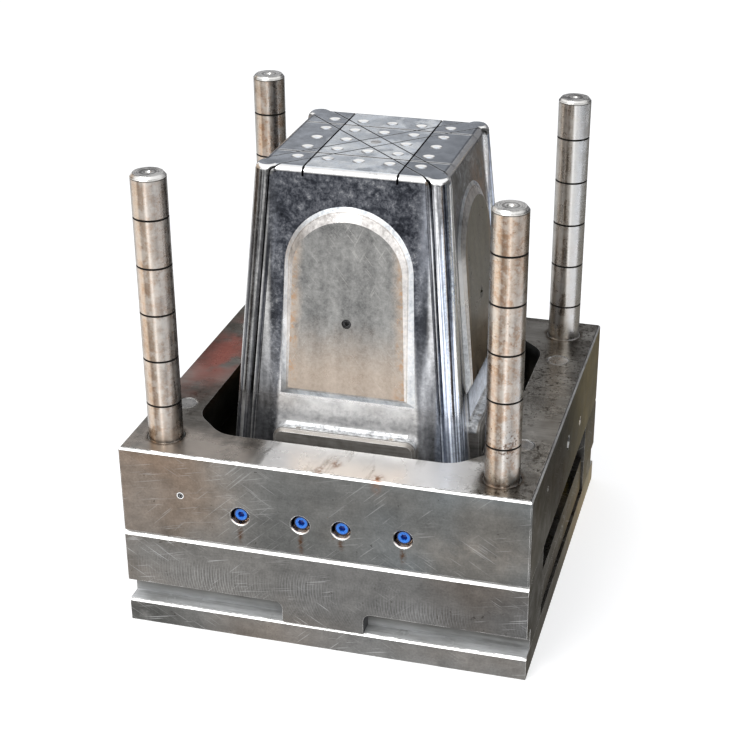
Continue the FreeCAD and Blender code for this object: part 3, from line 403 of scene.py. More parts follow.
def cutter_arcs(s):
    """Fly-cutter marks: arcs of one radius that step along X, strongest in patches."""
    radius, middle, feed = 0.085, 0.098, 0.0042
    rise = s.minus(s.z, middle)
    square = s.minus(radius * radius, s.times(rise, rise))
    bow = s.math("SQRT", s.most(square, 0.0))
    phase = s.times(s.add(s.x, bow), 2 * math.pi / feed)
    wave = s.math("SINE", s.add(phase, s.times(s.noise(24.0), 3.0)))
    back = s.math("SINE", s.times(s.minus(s.x, bow), 2 * math.pi / (feed * 1.6)))
    patch = s.fade(s.noise(11.0, 3.0), 0.47, 0.66)
    low = s.window(s.z, Z_CLAMP + 0.012, Z_JOINT - 0.035, 0.02)
    strong = s.most(s.spot((-0.03, 0, 0.10), (0.06, 0, 0.045)),
                    s.spot((-0.17, 0, 0.09), (0.13, 0, 0.05)))
    strong = s.most(strong, s.spot((0.14, 0, 0.085), (0.12, 0, 0.03)))
    lines = s.most(s.fade(wave, 0.55, 1.0), s.times(s.fade(back, 0.7, 1.0), 0.6))
    return s.times(s.times(lines, s.times(low, s.most(s.times(patch, 0.5), strong))), 0.28)


RUN_LENGTHS = (0.024, 0.030, 0.014, 0.022)
BLOTS = ((0.082, -0.292, 0.014), (-0.003, -0.289, 0.010), (0.015, -0.268, 0.012))


def core_plate_steel():
    """Core plate: brown at the left, dim in the middle, runs under the ports, a bright ground top
    with a painted reflection.
    """
    s, up, tilted, side, color, mottle, grain = plate_steel(
        "core_plate_steel", (0.125, 0.120, 0.112), (0.29, 0.275, 0.255))
    left = s.times(s.fade(s.x, -0.10, -0.27), s.fade(s.z, Z_JOINT, Z_TOP, 0.35, 0.8))
    color = s.tint(left, color, (1.18, 0.98, 0.84))
    front = s.fade(s.y, -HALF + 0.02, -HALF + 0.004)
    cloud = s.spot((0.235, 0, PORT_Z - 0.006), (0.13, 0, 0.036))
    cloud = s.times(cloud, s.fade(s.noise(26.0, 4.0), 0.35, 0.60))
    dim = s.times(s.times(s.fade(s.x, -0.17, -0.06), front), s.minus(1.0, s.times(cloud, 0.9)))
    color = s.tint(s.times(dim, 0.85), color, (0.57, 0.61, 0.64))
    color = s.tint(s.fade(s.x, 0.02, 0.16, 0.0, 0.8), color, (1.05, 1.14, 1.22))
    for x, length in zip(PORT_X, RUN_LENGTHS):
        run = s.spot((x, 0, PORT_Z - 0.016 - length / 2), (0.007, 0, length))
        run = s.times(s.times(run, front), s.fade(s.noise(160.0, 3.0), 0.30, 0.62))
        color = s.mix(run, color, (0.085, 0.045, 0.025))
    finish_plate(s, up, tilted, side, color, mottle, grain,
                 (0.20, 0.185, 0.165), (0.46, 0.445, 0.42), lines=0.22, rim_top=Z_TOP)
    s.color(core_plate_top(s, up))
    return s.material


def core_plate_top(s, up):
    """A painted reflection of the core in front of the pocket, a painted bright patch at the front
    left, red film at the left, pepper at the right, rust blots.
    """
    last = s.bsdf.inputs["Base Color"].links[0].from_socket

    # Painted reflection: a pale strip in front of the pocket, where the plate top mirrors the core.
    polished = s.times(s.window(s.x, -0.100, 0.215, 0.010), s.fade(s.y, -0.205, -0.215))
    polished = s.times(s.times(polished, up),
                       s.fade(s.noise(30.0, 4.0, stretch=(1, 0.3, 1)), 0.26, 0.44))
    last = s.mix(s.times(polished, 0.9), last, (0.86, 0.845, 0.83))
    # Painted light: a bright mottled patch at the front left of the top.
    lit = s.times(s.times(s.fade(s.x, -0.09, -0.12), s.fade(s.y, -0.20, -0.24)), up)
    lit = s.times(lit, s.fade(s.noise(17.0, 5.0, 0.65), 0.30, 0.56))
    last = s.mix(s.times(lit, 0.75), last, (0.74, 0.66, 0.59))
    smear = s.spot((-0.262, 0.03, Z_TOP), (0.066, 0.20, 0))
    smear = s.times(s.times(smear, up), s.fade(s.noise(22.0, 4.0), 0.32, 0.54))
    last = s.mix(s.times(smear, 0.85), last, (0.68, 0.235, 0.190))
    peppered = s.times(s.times(s.fade(s.x, 0.185, 0.225), up),
                       s.fade(s.noise(15.0, 3.0), 0.40, 0.52))
    pepper = s.times(s.fade(s.noise(210.0, 5.0, 0.7), 0.535, 0.575), peppered)
    last = s.tint(s.times(peppered, 0.5), last, (1.70, 1.72, 1.72))
    last = s.mix(s.times(pepper, 0.85), last, (0.045, 0.036, 0.028))
    for x, y, size in BLOTS:
        blot = s.spot((x, y, Z_TOP), (size, size * 1.3, 0.03))
        blot = s.times(blot, s.fade(s.noise(140.0, 4.0), 0.36, 0.56))
        last = s.mix(blot, last, (0.22, 0.10, 0.05))
    last = s.mix(s.times(pillar_stain(s), up), last, (0.085, 0.058, 0.040))
    last = pocket_shade(s, port_rims(s, last))
    s.metallic(s.minus(s.fade(s.noise(95.0, 5.0, 0.65), 0.74, 0.82, 1.0, 0.4),
                       s.times(polished, 0.45)))
    return last


def port_radius(s):
    """Distance in the front face from the nearest of the four water ports."""
    across = s.absolute(s.x)
    near = s.least(s.absolute(s.minus(across, PORT_X[3])),
                   s.absolute(s.minus(across, PORT_X[2])))
    rise = s.minus(s.z, PORT_Z)
    return s.distance(near, rise)


def port_rims(s, color):
    """Painted shade in the port mouths with a painted highlight on their lower lip, and a painted
    highlight round the strap hole.
    """
    front = s.fade(s.y, -HALF + 0.030, -HALF + 0.025)
    radius = port_radius(s)
    # Painted shade inside each port's counterbore; painted highlight on its lower lip.
    port_mouth_shade = s.times(s.fade(radius, PORT_R + 0.0007, PORT_R + 0.0001), front)
    lower_lip_highlight = s.fade(s.z, PORT_Z - 0.0045, PORT_Z - 0.0085)
    lower_lip_highlight = s.times(lower_lip_highlight, s.fade(radius, PORT_R - 0.0019, PORT_R - 0.0009))
    color = s.mix(port_mouth_shade, color, s.mix(lower_lip_highlight, (0.030, 0.028, 0.032), (0.95, 0.80, 0.68)))
    # Painted highlight: a white ring round the strap hole.
    dx = s.minus(s.x, STRAP_HOLE[0])
    dz = s.minus(s.z, STRAP_HOLE[1])
    strap_rim_highlight = s.fade(s.distance(dx, dz), STRAP_R + 0.0014, STRAP_R + 0.0006)
    return s.mix(s.times(strap_rim_highlight, front), color, WHITE)


def pillar_stain(s):
    """A ragged dark ring on the plate round each pillar."""
    dx = s.minus(s.absolute(s.x), PILLAR_MIDDLE)
    dy = s.minus(s.absolute(s.y), PILLAR_MIDDLE)
    radius = s.distance(dx, dy)
    ragged = s.add(radius, s.swing(s.noise(70.0, 4.0), 0.014))
    return s.times(s.fade(ragged, PILLAR_R + 0.009, PILLAR_R + 0.002), 0.75)


def pocket_shade(s, color):
    """Painted shade: near-black, mottled walls and floor inside the pocket round the core."""
    edge = (POCKET_HALF + 0.004, POCKET_HALF - 0.004)
    inside = s.times(s.fade(s.absolute(s.x), *edge), s.fade(s.absolute(s.y), *edge))
    pocket_shade_tone = s.ramp(s.noise(24.0, 4.0), (0.35, (0.030, 0.030, 0.027)), (0.65, (0.085, 0.082, 0.072)))
    return s.mix(s.times(inside, s.fade(s.z, Z_TOP - 0.002, Z_TOP - 0.02)), color, pocket_shade_tone)


def rail_steel(name):
    """Spacer rail: cutter arcs, darker to the right, with rough clamp slots."""
    s, up, tilted, side, color, mottle, grain = plate_steel(
        name, (0.115, 0.112, 0.106), (0.265, 0.255, 0.24), arcs=cutter_arcs)
    color = s.tint(s.fade(s.x, -0.14, 0.02, 0.0, 0.45), color, (0.66, 0.69, 0.74))
    color = s.tint(s.fade(s.x, 0.08, 0.26, 0.0, 0.55), color, (0.55, 0.57, 0.60))
    finish_plate(s, up, tilted, side, color, mottle, grain,
                 (0.16, 0.155, 0.145), (0.34, 0.33, 0.31), lines=0.42)
    slot_finish(s, s.fade(s.z, SLOT_TOP + 0.0005, SLOT_TOP - 0.0005))
    return s.material


def slot_finish(s, low):
    """Rough-milled matt grey inside the clamp slots, in place of the ground finish, with painted
    shadow high on the back wall, painted light low down and painted shade on the end walls.
    """
    ax, ay = s.absolute(s.x), s.absolute(s.y)
    recess = s.times(s.window(ay, HALF - SLOT_DEPTH - 0.0006, HALF - 0.0013, 0.0003), low)
    recess = s.times(recess, s.fade(ax, HALF - 0.0003, HALF - 0.0006))
    milled = s.noise(130.0, 4.0, 0.6, stretch=(0.08, 1, 1))
    grime = s.noise(20.0, 4.0, 0.6, stretch=(0.5, 1, 1))
    tone = s.add(s.times(milled, 0.4), s.times(grime, 0.6))
    grey = s.ramp(tone, (0.36, (0.27, 0.265, 0.25)), (0.50, (0.52, 0.515, 0.50)),
                  (0.64, (0.74, 0.735, 0.72)))
    # Painted shadow under the rail's top edge, painted light towards the slot's floor.
    painted_light_low = s.fade(s.add(s.z, s.times(grime, 0.008)), Z_CLAMP + 0.025, Z_CLAMP + 0.004, 0.0, 0.75)
    painted_light_low = s.most(painted_light_low, s.fade(s.z, Z_CLAMP + 0.0010, Z_CLAMP + 0.0002))
    grey = s.mix(painted_light_low, s.scaled(grey, (0.26, 0.25, 0.23)), s.scaled(grey, (1.22, 1.25, 1.29)))
    # Painted shade on the end walls that face +X.
    end = s.fade(s.split(s.normal)[0], 0.3, 0.7)
    end_wall_shade = s.ramp(grime, (0.35, (0.030, 0.032, 0.038)), (0.62, (0.10, 0.10, 0.105)))
    grey = s.mix(end, grey, end_wall_shade)
    last = s.bsdf.inputs["Base Color"].links[0].from_socket
    s.color(s.mix(recess, last, grey))
    s.metallic(s.fade(recess, 0.0, 1.0, 1.0, 0.15))


def clamp_steel():
    """Clamp plate: a dark patch at the front left corner, and the slots' floor on top."""
    s, up, tilted, side, color, mottle, grain = plate_steel(
        "clamp_plate_steel", (0.11, 0.108, 0.104), (0.25, 0.245, 0.235))
    patch = s.spot((-0.272, 0, 0.012), (0.105, 0, 0.050))
    patch = s.times(patch, s.fade(s.noise(34.0, 4.0), 0.30, 0.46))
    color = s.tint(s.times(patch, 0.85), color, (0.40, 0.41, 0.40))
    pale = s.fade(s.x, -0.20, -0.10, 0.0, 0.5)
    color = s.tint(pale, color, (1.35, 1.38, 1.42))
    finish_plate(s, up, tilted, side, color, mottle, grain,
                 (0.17, 0.165, 0.155), (0.36, 0.35, 0.33), rim_top=Z_CLAMP)
    slot_finish(s, s.fade(s.z, Z_CLAMP - 0.0003, Z_CLAMP - 0.0001))
    return s.material


def inner_steel(name, dark, light):
    """Ejector plates: the plain plate finish with a top as dark as the sides."""
    return finish_plate(*plate_steel(name, dark, light), dark, light)


def turned_steel(name, dark, light, warm, rust=0.0, roughness=(0.2, 0.34)):
    """Ground round bar: fine rings, long faint streaks and a warm film in patches."""
    s = Shader(name, roughness=0.3)
    streak = s.noise(70.0, 4.0, 0.6, stretch=(1, 1, 0.04))
    rings = s.noise(500.0, 2.0, 0.5, stretch=(0.02, 0.02, 1))
    mottle = s.noise(55.0, 5.0, 0.65)
    tone = s.add(s.times(streak, 0.5), s.add(s.times(rings, 0.2), s.times(mottle, 0.3)))
    color = s.ramp(tone, (0.38, dark), (0.60, light))
    film = s.times(s.fade(s.noise(13.0, 4.0), 0.42, 0.62), 0.7)
    color = s.tint(film, color, warm)
    wear = s.edge(0.0009)
    color = s.mix(s.times(wear, 0.6), color, 0.85)
    spots = rust_spots(s, 190.0, rust, 12.0)
    color = s.mix(s.times(spots, 0.8), color, RUST)
    s.color(color)
    s.roughness(s.most(s.fade(mottle, 0.35, 0.65, *roughness), s.times(spots, 0.7)))
    s.metallic(s.fade(spots, 0.0, 1.0, 1.0, 0.4))
    s.bump((rings, 0.00003), (mottle, 0.00008))
    return s.material


CAP_FEED = 0.0031
CAP_RING = (0.0095, 0.0112)
CAP_CENTRE = (0.0036, 0.0022)


def pillar_steel(corner, warm, spotted, painted_sheen):
    """Ground pillar: painted reflection bands down its length, a painted sheen on one half, warm
    film, brown spots, black grooves.
    """
    s = Shader("guide_pillar_steel_" + corner, roughness=0.3)
    low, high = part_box("guide_pillar_" + corner)
    dx = s.minus(s.x, (low.x + high.x) / 2)
    dy = s.minus(s.y, (low.y + high.y) / 2)
    radius = s.distance(dx, dy)
    streak = s.noise(70.0, 4.0, 0.6, stretch=(1, 1, 0.05))
    rings = s.noise(500.0, 2.0, 0.5, stretch=(0.02, 0.02, 1))
    mottle = s.noise(55.0, 5.0, 0.65)
    film = s.noise(9.0, 4.0, 0.6, stretch=(1, 1, 0.35))

    # Painted reflection: bands across the pillar, set by the camera's azimuth and wobbled by
    # streaks.
    across = s.add(s.times(dx, math.cos(CAMERA_AZIMUTH) / PILLAR_R),
                   s.times(dy, math.sin(CAMERA_AZIMUTH) / PILLAR_R))
    across = s.add(across, s.swing(streak, 0.22))
    painted_reflection_band = s.add(s.times(across, 0.5), 0.5)
    color = s.ramp(painted_reflection_band, (0.00, (0.13, 0.12, 0.11)), (0.05, (0.34, 0.33, 0.31)),
                   (0.13, (0.72, 0.64, 0.55)), (0.22, (0.66, 0.57, 0.47)),
                   (0.29, (0.26, 0.22, 0.185)), (0.40, (0.36, 0.325, 0.285)),
                   (0.47, (0.86, 0.85, 0.83)), (0.54, (0.50, 0.49, 0.475)),
                   (0.68, (0.33, 0.335, 0.34)), (0.84, (0.56, 0.57, 0.58)),
                   (0.93, (0.28, 0.28, 0.28)), (1.00, (0.08, 0.078, 0.075)))
    tone = s.add(s.times(streak, 0.45), s.add(s.times(rings, 0.15), s.times(mottle, 0.4)))
    color = s.mix(0.9, color, s.ramp(tone, (0.34, 0.62), (0.62, 1.0)), "MULTIPLY")
    # Painted sheen: the right-hand half of the pillar is lightened, by each pillar's sheen
    # strength.
    color = s.mix(s.times(s.fade(across, -0.2, 0.5), painted_sheen), color, (0.88, 0.90, 0.93))
    rusty = s.times(s.fade(film, 0.42, 0.60), warm)
    color = s.tint(rusty, color, (1.06, 0.76, 0.52))
    blotch = s.times(s.fade(s.noise(95.0, 5.0, 0.75), 0.485, 0.56),
                     s.times(s.fade(film, 0.36, 0.52), warm))
    color = s.tint(s.times(blotch, 0.85), color, (0.70, 0.46, 0.29))
    color = s.mix(s.times(s.fade(mottle, 0.44, 0.60), 0.30), color, (0.66, 0.65, 0.62))
    spots = rust_spots(s, 230.0, spotted, 14.0)
    color = s.mix(s.times(spots, 0.8), color, (0.13, 0.070, 0.040))

    groove = s.times(s.fade(radius, PILLAR_R - 0.0003, PILLAR_R - 0.0009),
                     s.fade(s.z, PILLAR_TOP - 0.009, PILLAR_TOP - 0.012))
    color = s.mix(groove, color, (0.012, 0.010, 0.008))
    cap_foot = PILLAR_TOP - CAP_BEVEL
    cap = s.fade(s.z, cap_foot, cap_foot + 0.0013)
    turned = s.math("SINE", s.times(radius, 2 * math.pi / CAP_FEED))
    face = s.ramp(s.add(s.times(turned, 0.10), mottle),
                  (0.34, (0.36, 0.355, 0.34)), (0.58, (0.86, 0.85, 0.83)))
    face = s.mix(s.window(radius, *CAP_RING, 0.0008), face, (0.22, 0.21, 0.20))
    face = s.mix(s.fade(radius, *CAP_CENTRE), face, (0.10, 0.095, 0.09))
    color = s.mix(cap, color, face)
    seam = s.window(s.z, cap_foot - 0.0008, cap_foot + 0.0004, 0.0004)
    color = s.mix(seam, color, (0.10, 0.095, 0.085))
    s.color(color)
    s.roughness(s.most(s.fade(mottle, 0.35, 0.65, 0.22, 0.36),
                       s.most(s.times(spots, 0.6), s.times(groove, 0.8))))
    s.metallic(s.fade(s.most(spots, groove), 0.0, 1.0, 1.0, 0.3))
    s.bump((rings, 0.00003), (mottle, 0.00010))
    return s.material


FOOT_BAND = (0.350, 0.318)


def core_steel():
    """Polished core, with painted reflections: dark and speckled above the windows, bright below
    them and at the foot; painted light and shade on its sides, a painted highlight along the top
    edge; slate on top.
    """
    s = Shader("polished_core_steel", roughness=0.16)
    nx, ny, nz = s.split(s.normal)
    smudge = s.noise(26.0, 6.0, 0.7)
    speck = s.noise(150.0, 5.0, 0.75)
    wipes = s.noise(40.0, 3.0, 0.6, stretch=(1, 1, 0.15))
    corner = s.least(s.absolute(s.x), s.absolute(s.y))
    margin = s.fade(corner, 0.094, 0.116)

    # Painted reflection: the walls are bright low down and at the foot, dark and speckled above a
    # wavy line.
    bright = s.ramp(s.add(s.times(smudge, 0.5), s.times(wipes, 0.5)),
                    (0.36, (0.56, 0.56, 0.57)), (0.62, (0.92, 0.91, 0.89)))
    grainy = s.add(s.times(speck, 0.50), s.times(smudge, 0.50))
    painted_upper_reflection = s.ramp(grainy, (0.38, (0.010, 0.011, 0.014)), (0.47, (0.040, 0.043, 0.052)),
                  (0.55, (0.125, 0.13, 0.145)), (0.66, (0.44, 0.44, 0.44)))
    smooth = s.ramp(s.add(s.times(wipes, 0.7), s.times(smudge, 0.3)),
                    (0.38, (0.075, 0.080, 0.092)), (0.60, (0.22, 0.23, 0.255)))
    smooth = s.mix(s.fade(s.z, 0.46, 0.36), smooth, (0.36, 0.365, 0.38))
    painted_upper_reflection = s.mix(s.times(margin, s.fade(s.x, -0.03, 0.03, 0.35, 0.9)), painted_upper_reflection, smooth)
    line = s.add(s.z, s.add(s.swing(smudge, 0.16), s.times(margin, 0.21)))
    height = s.fade(line, 0.37, 0.48)
    wall = s.fade(s.absolute(nz), 0.35, 0.20)
    foot = s.fade(s.z, *FOOT_BAND)
    pale = s.ramp(s.add(s.times(speck, 0.6), s.times(smudge, 0.4)),
                  (0.38, (0.42, 0.42, 0.43)), (0.58, (0.96, 0.95, 0.94)))
    color = s.mix(s.times(height, wall), s.mix(s.times(foot, 0.8), bright, pale), painted_upper_reflection)
    s.metallic(s.fade(s.z, *FOOT_BAND, 1.0, 0.40))

    # Painted reflection: stripes round the corner columns, following the way the surface faces.
    column_reflection_noise = s.noise(3.4, 2.0, 0.6, vector=s.join(nx, ny, s.times(s.z, 0.30)))
    column_painted_reflection = s.ramp(column_reflection_noise, (0.34, (0.045, 0.048, 0.060)), (0.43, (0.26, 0.265, 0.28)),
                     (0.49, (0.92, 0.92, 0.92)), (0.53, (0.16, 0.165, 0.18)),
                     (0.59, (0.50, 0.50, 0.50)), (0.66, (0.78, 0.77, 0.75)))
    color = s.mix(s.times(s.fade(corner, 0.113, 0.121), s.times(wall, 0.85)), color, column_painted_reflection)

    streaky = s.ramp(s.add(s.times(wipes, 0.65), s.times(speck, 0.35)),
                     (0.40, 0.45), (0.50, 1.0), (0.60, 1.6))
    color = s.tint(s.times(margin, wall), color, streaky)
    # Painted shade on the left side and on the front left corner.
    left_side_shade = s.times(s.fade(s.x, -0.11, -0.13), s.times(wall, height))
    color = s.tint(left_side_shade, color, 0.72)
    front_left = s.times(s.times(s.fade(s.x, -0.10, -0.12), s.fade(s.y, -0.10, -0.12)), wall)
    color = s.tint(front_left, color, (0.80, 0.79, 0.77))
    # Painted light on the right face, with a painted dark band and a painted highlight band near
    # its corners.
    right = s.times(s.fade(s.x, 0.130, 0.136), wall)
    color = s.tint(right, color, (1.7, 1.85, 2.1))
    wander = s.add(corner, s.swing(wipes, 0.010))
    color = s.mix(s.times(s.window(wander, 0.086, 0.098, 0.004), right), color, (0.16, 0.17, 0.19))
    color = s.mix(s.times(s.window(wander, 0.101, 0.113, 0.003), right), color, (0.97, 0.98, 1.0))
    film = s.times(s.spot((0, 0.055, 0.600), (0, 0.085, 0.095)), right)
    film = s.times(film, s.fade(s.noise(28.0, 5.0, 0.7), 0.36, 0.58))
    color = s.mix(s.times(film, 0.8), color, (0.40, 0.235, 0.165))
    # Painted highlight along the fillet at the top edge.
    brim_highlight = s.times(s.fade(s.z, Z_CORE - ROOF_EDGE, Z_CORE - 0.012), s.window(nz, 0.42, 0.86, 0.16))
    color = s.mix(s.times(brim_highlight, s.fade(s.add(smudge, wipes), 0.78, 0.92)), color, WHITE)
    color = core_top(s, color, nz, speck, wipes, smudge)
    s.color(color)
    s.roughness(s.fade(s.add(s.times(smudge, 0.6), s.times(speck, 0.4)), 0.35, 0.65, 0.10, 0.26))
    s.bump((s.noise(14.0, 2.0, 0.5), 0.0010), (smudge, 0.0003), (speck, 0.00005))
    return s.material


def core_top(s, color, nz, speck, wipes, smudge):
    """The flat roof: slate outside the long ribs, a silver painted reflection between them, painted
    highlights along the ribs, painted light and shade in the dimples and grooves.
    """
    roof = s.times(s.fade(nz, 0.90, 0.985), s.fade(s.z, Z_CORE - ROOF_EDGE, Z_CORE - 0.010))
    place = s.add(s.x, s.swing(smudge, 0.03))
    centre = s.fade(s.absolute(place), RIB_PLACE + 0.003, RIB_PLACE - 0.003)
    tone = s.add(s.times(speck, 0.4), s.times(wipes, 0.6))
    slate = s.ramp(tone, (0.38, (0.19, 0.21, 0.24)), (0.62, (0.42, 0.45, 0.50)))
    slate = s.mix(s.fade(s.x, 0.0, 0.08, 0.0, 0.6), slate, (0.17, 0.19, 0.225))
    # Painted reflection: silver between the long ribs, with darker clouds.
    silver_reflection = s.ramp(tone, (0.36, (0.64, 0.70, 0.78)), (0.62, (0.98, 1.0, 1.0)))
    cloud = s.times(s.fade(s.noise(24.0, 4.0), 0.46, 0.56), s.fade(s.x, -0.07, 0.03, 0.25, 1.0))
    silver_reflection = s.mix(s.times(cloud, 0.68), silver_reflection, (0.26, 0.29, 0.34))
    top = s.mix(centre, slate, silver_reflection)
    east = s.times(s.add(s.x, s.y), math.sqrt(0.5))
    north = s.times(s.minus(s.x, s.y), math.sqrt(0.5))
    diagonal = s.most(s.line(east, DIAGONAL_OFFSET, 0.0022), s.line(north, DIAGONAL_OFFSET, 0.0022))
    # Painted highlights: pale strips along the long ribs and the diagonals.
    top = s.mix(s.line(s.y, RIB_PLACE, 0.0034), top, WHITE)
    top = s.mix(s.times(diagonal, 0.55), top, (0.80, 0.82, 0.85))
    # Painted light and shade in the dimples: bright on the far side, dark on the near side.
    sunk = s.fade(s.z, Z_CORE - 0.0002, Z_CORE - 0.0005)
    dimple_painted_light = s.ramp(s.add(s.times(s.split(s.normal)[1], 1.6), 0.5),
                  (0.20, (0.80, 0.86, 0.94)), (0.40, WHITE), (0.52, (0.62, 0.67, 0.74)),
                  (0.60, (0.03, 0.03, 0.04)))
    top = s.mix(sunk, top, dimple_painted_light)
    color = s.mix(roof, color, top)
    # Painted shade in the diagonal grooves and, near-black, in the long grooves; painted light on
    # the groove walls along the ribs.
    floor = Z_CORE - GROOVE_FLOOR
    deep = s.times(s.fade(s.z, Z_CORE - 0.0005, Z_CORE - 0.0010),
                   s.fade(s.z, floor - 0.0006, floor))
    steep = s.fade(nz, 0.6, 0.3)
    color = s.mix(s.times(s.times(deep, steep), diagonal), color, 0.12)
    lit_wall = s.times(steep, s.line(s.y, RIB_PLACE, 0.0017))
    color = s.mix(s.times(deep, lit_wall), color, (0.85, 0.86, 0.88))
    return s.mix(s.times(deep, s.line(s.x, RIB_PLACE, 0.0017)), color, (0.006, 0.006, 0.007))


def window_steel():
    """Satin insert: grey middle, tan towards the foot and edges, painted shade at the right, a
    painted highlight on the bevel round it and a painted glint.
    """
    s = Shader("window_insert_steel", roughness=0.34)
    ax, ay = s.absolute(s.x), s.absolute(s.y)
    across = s.least(ax, ay)
    plane = s.add(s.times(s.z, -CORE_DRAFT), CORE_TOP_HALF + CORE_DRAFT * Z_CORE)
    proud = s.minus(s.most(ax, ay), plane)
    smudge = s.noise(30.0, 6.0, 0.7)
    speck = s.noise(150.0, 5.0, 0.7)
    streak = s.noise(46.0, 3.0, 0.6, stretch=(1, 1, 0.12))
    fine = s.noise(420.0, 3.0, 0.7)
    tone = s.add(s.add(s.times(smudge, 0.38), s.times(fine, 0.16)),
                 s.add(s.times(speck, 0.24), s.times(streak, 0.22)))
    grey = s.ramp(tone, (0.40, (0.125, 0.125, 0.122)), (0.60, (0.39, 0.385, 0.37)))
    tan = s.ramp(tone, (0.38, (0.34, 0.275, 0.22)), (0.62, (0.58, 0.49, 0.41)))
    low = s.fade(s.add(s.z, s.times(smudge, 0.06)), 0.50, 0.40)
    rim = s.fade(s.add(across, s.swing(smudge, 0.03)), 0.062, 0.080)
    color = s.mix(s.most(s.times(low, 0.9), s.times(rim, 0.75)), grey, tan)
    marks = s.most(scratches(s, 420, 1.10), scratches(s, 520, -0.9))
    color = s.mix(s.times(marks, 0.20), color, (0.72, 0.70, 0.66))
    orange = s.times(s.fade(across, 0.070, 0.079), s.fade(s.noise(85.0, 5.0, 0.7), 0.48, 0.60))
    color = s.mix(s.times(orange, 0.55), color, (0.46, 0.24, 0.10))
    stain = s.times(s.spot((0.088, 0, 0.352), (0.026, 0, 0.034)),
                    s.fade(s.noise(70.0, 4.0), 0.36, 0.56))
    color = s.mix(s.times(stain, 0.7), color, (0.42, 0.22, 0.10))
    shaded = s.fade(s.x, 0.125, 0.135)
    color = s.tint(shaded, color, (0.80, 0.76, 0.66))

    # Painted highlight on the bevel: white outside, tan inwards, the tan partly rust and partly
    # painted reflection.
    slope = bevel_mask(s)
    tint = s.add(s.times(speck, 0.5), s.times(streak, 0.5))
    white_highlight = s.ramp(tint, (0.36, (0.40, 0.42, 0.45)), (0.50, (0.80, 0.83, 0.86)), (0.60, WHITE))
    warm = s.ramp(tint, (0.36, (0.36, 0.27, 0.20)), (0.58, (0.82, 0.72, 0.62)))
    inner = s.fade(s.add(proud, s.swing(smudge, 0.0012)), 0.0012, 0.0019)
    color = s.mix(slope, color, s.mix(s.times(inner, 0.42), white_highlight, warm))
    seam = s.times(s.window(proud, 0.0020, 0.0023, 0.0002), slope)
    color = s.mix(s.times(seam, 0.6), color, (0.16, 0.125, 0.10))
    # Painted glint on the bevel of the right-hand insert.
    painted_glint = s.times(s.spot((0, -0.092, 0.520), (0, 0.013, 0.060)), s.fade(s.x, 0.12, 0.13))
    color = s.mix(s.times(painted_glint, slope), color, WHITE)
    s.color(color)
    s.roughness(s.fade(smudge, 0.35, 0.65, 0.26, 0.42))
    s.bump((smudge, 0.0003), (speck, 0.0001), (marks, -0.0001))
    return s.material


def bevel_mask(s):
    """1 on the sloping rim of an insert, where the normal leaves the face's own by far."""
    nx, ny, _ = s.split(s.normal)
    flat = s.most(s.absolute(nx), s.absolute(ny))
    return s.fade(flat, 0.985, 0.955)


def bar_steel():
    """Shut-off bars: dull brown-grey front, bright worn bevel, a mottled white painted highlight on
    the upper ramp.
    """
    s = Shader("shut_off_bar_steel", roughness=0.42)
    nz = s.split(s.normal)[2]
    mottle = s.noise(60.0, 5.0, 0.7)
    grain = s.noise(260.0, 3.0, 0.6, stretch=(0.06, 0.06, 1))
    dull = s.ramp(s.add(s.times(mottle, 0.6), s.times(grain, 0.4)),
                  (0.36, (0.15, 0.138, 0.125)), (0.62, (0.34, 0.318, 0.292)))
    coarse = s.noise(120.0, 5.0, 0.7)
    white_highlight = s.ramp(coarse, (0.38, (0.24, 0.245, 0.25)), (0.47, (0.52, 0.53, 0.54)),
                   (0.60, (0.92, 0.93, 0.94)))
    # Painted highlight: the upward ramp coloured mottled white.
    outward = s.most(s.absolute(s.x), s.absolute(s.y))
    ramp = s.times(s.fade(nz, 0.12, 0.30), s.fade(outward, BAR_OUT - 0.0065, BAR_OUT - 0.0085))
    color = s.mix(ramp, dull, white_highlight)
    color = s.mix(s.times(s.edge(0.0011), 0.8), color, (0.95, 0.95, 0.94))
    s.color(color)
    s.metallic(s.fade(nz, 0.12, 0.30, 0.25, 0.60))
    s.roughness(s.fade(mottle, 0.3, 0.7, 0.34, 0.50))
    s.bump((grain, 0.00005), (mottle, 0.00020), (s.times(coarse, ramp), 0.0006))
    return s.material


def black_screw():
    s = Shader("black_oxide_screw", metallic=0.85, roughness=0.42)
    mottle = s.noise(120.0, 4.0)
    s.color(s.mix(s.edge(0.0006), s.ramp(mottle, (0.35, 0.018), (0.65, 0.05)), 0.22))
    s.roughness(s.fade(mottle, 0.3, 0.7, 0.34, 0.52))
    s.bump((mottle, 0.00004))
    return s.material


def brass():
    s = Shader("cast_brass", roughness=0.32)
    mottle = s.noise(90.0, 5.0)
    color = s.ramp(mottle, (0.35, (0.42, 0.27, 0.10)), (0.65, (0.70, 0.50, 0.22)))
    s.color(s.mix(s.times(s.edge(0.0008), 0.6), color, (0.85, 0.66, 0.34)))
    s.roughness(s.fade(mottle, 0.3, 0.7, 0.26, 0.44))
    s.bump((mottle, 0.00005))
    return s.material


def bronze():
    s = Shader("bearing_bronze", roughness=0.36)
    mottle = s.noise(90.0, 5.0)
    rings = s.noise(600.0, 2.0, 0.5, stretch=(0.02, 0.02, 1))
    color = s.ramp(mottle, (0.35, (0.34, 0.19, 0.08)), (0.65, (0.55, 0.34, 0.16)))
    s.color(s.mix(s.times(s.edge(0.0008), 0.6), color, (0.72, 0.50, 0.28)))
    s.roughness(s.fade(mottle, 0.3, 0.7, 0.28, 0.46))
    s.bump((rings, 0.00003), (mottle, 0.00004))
    return s.material


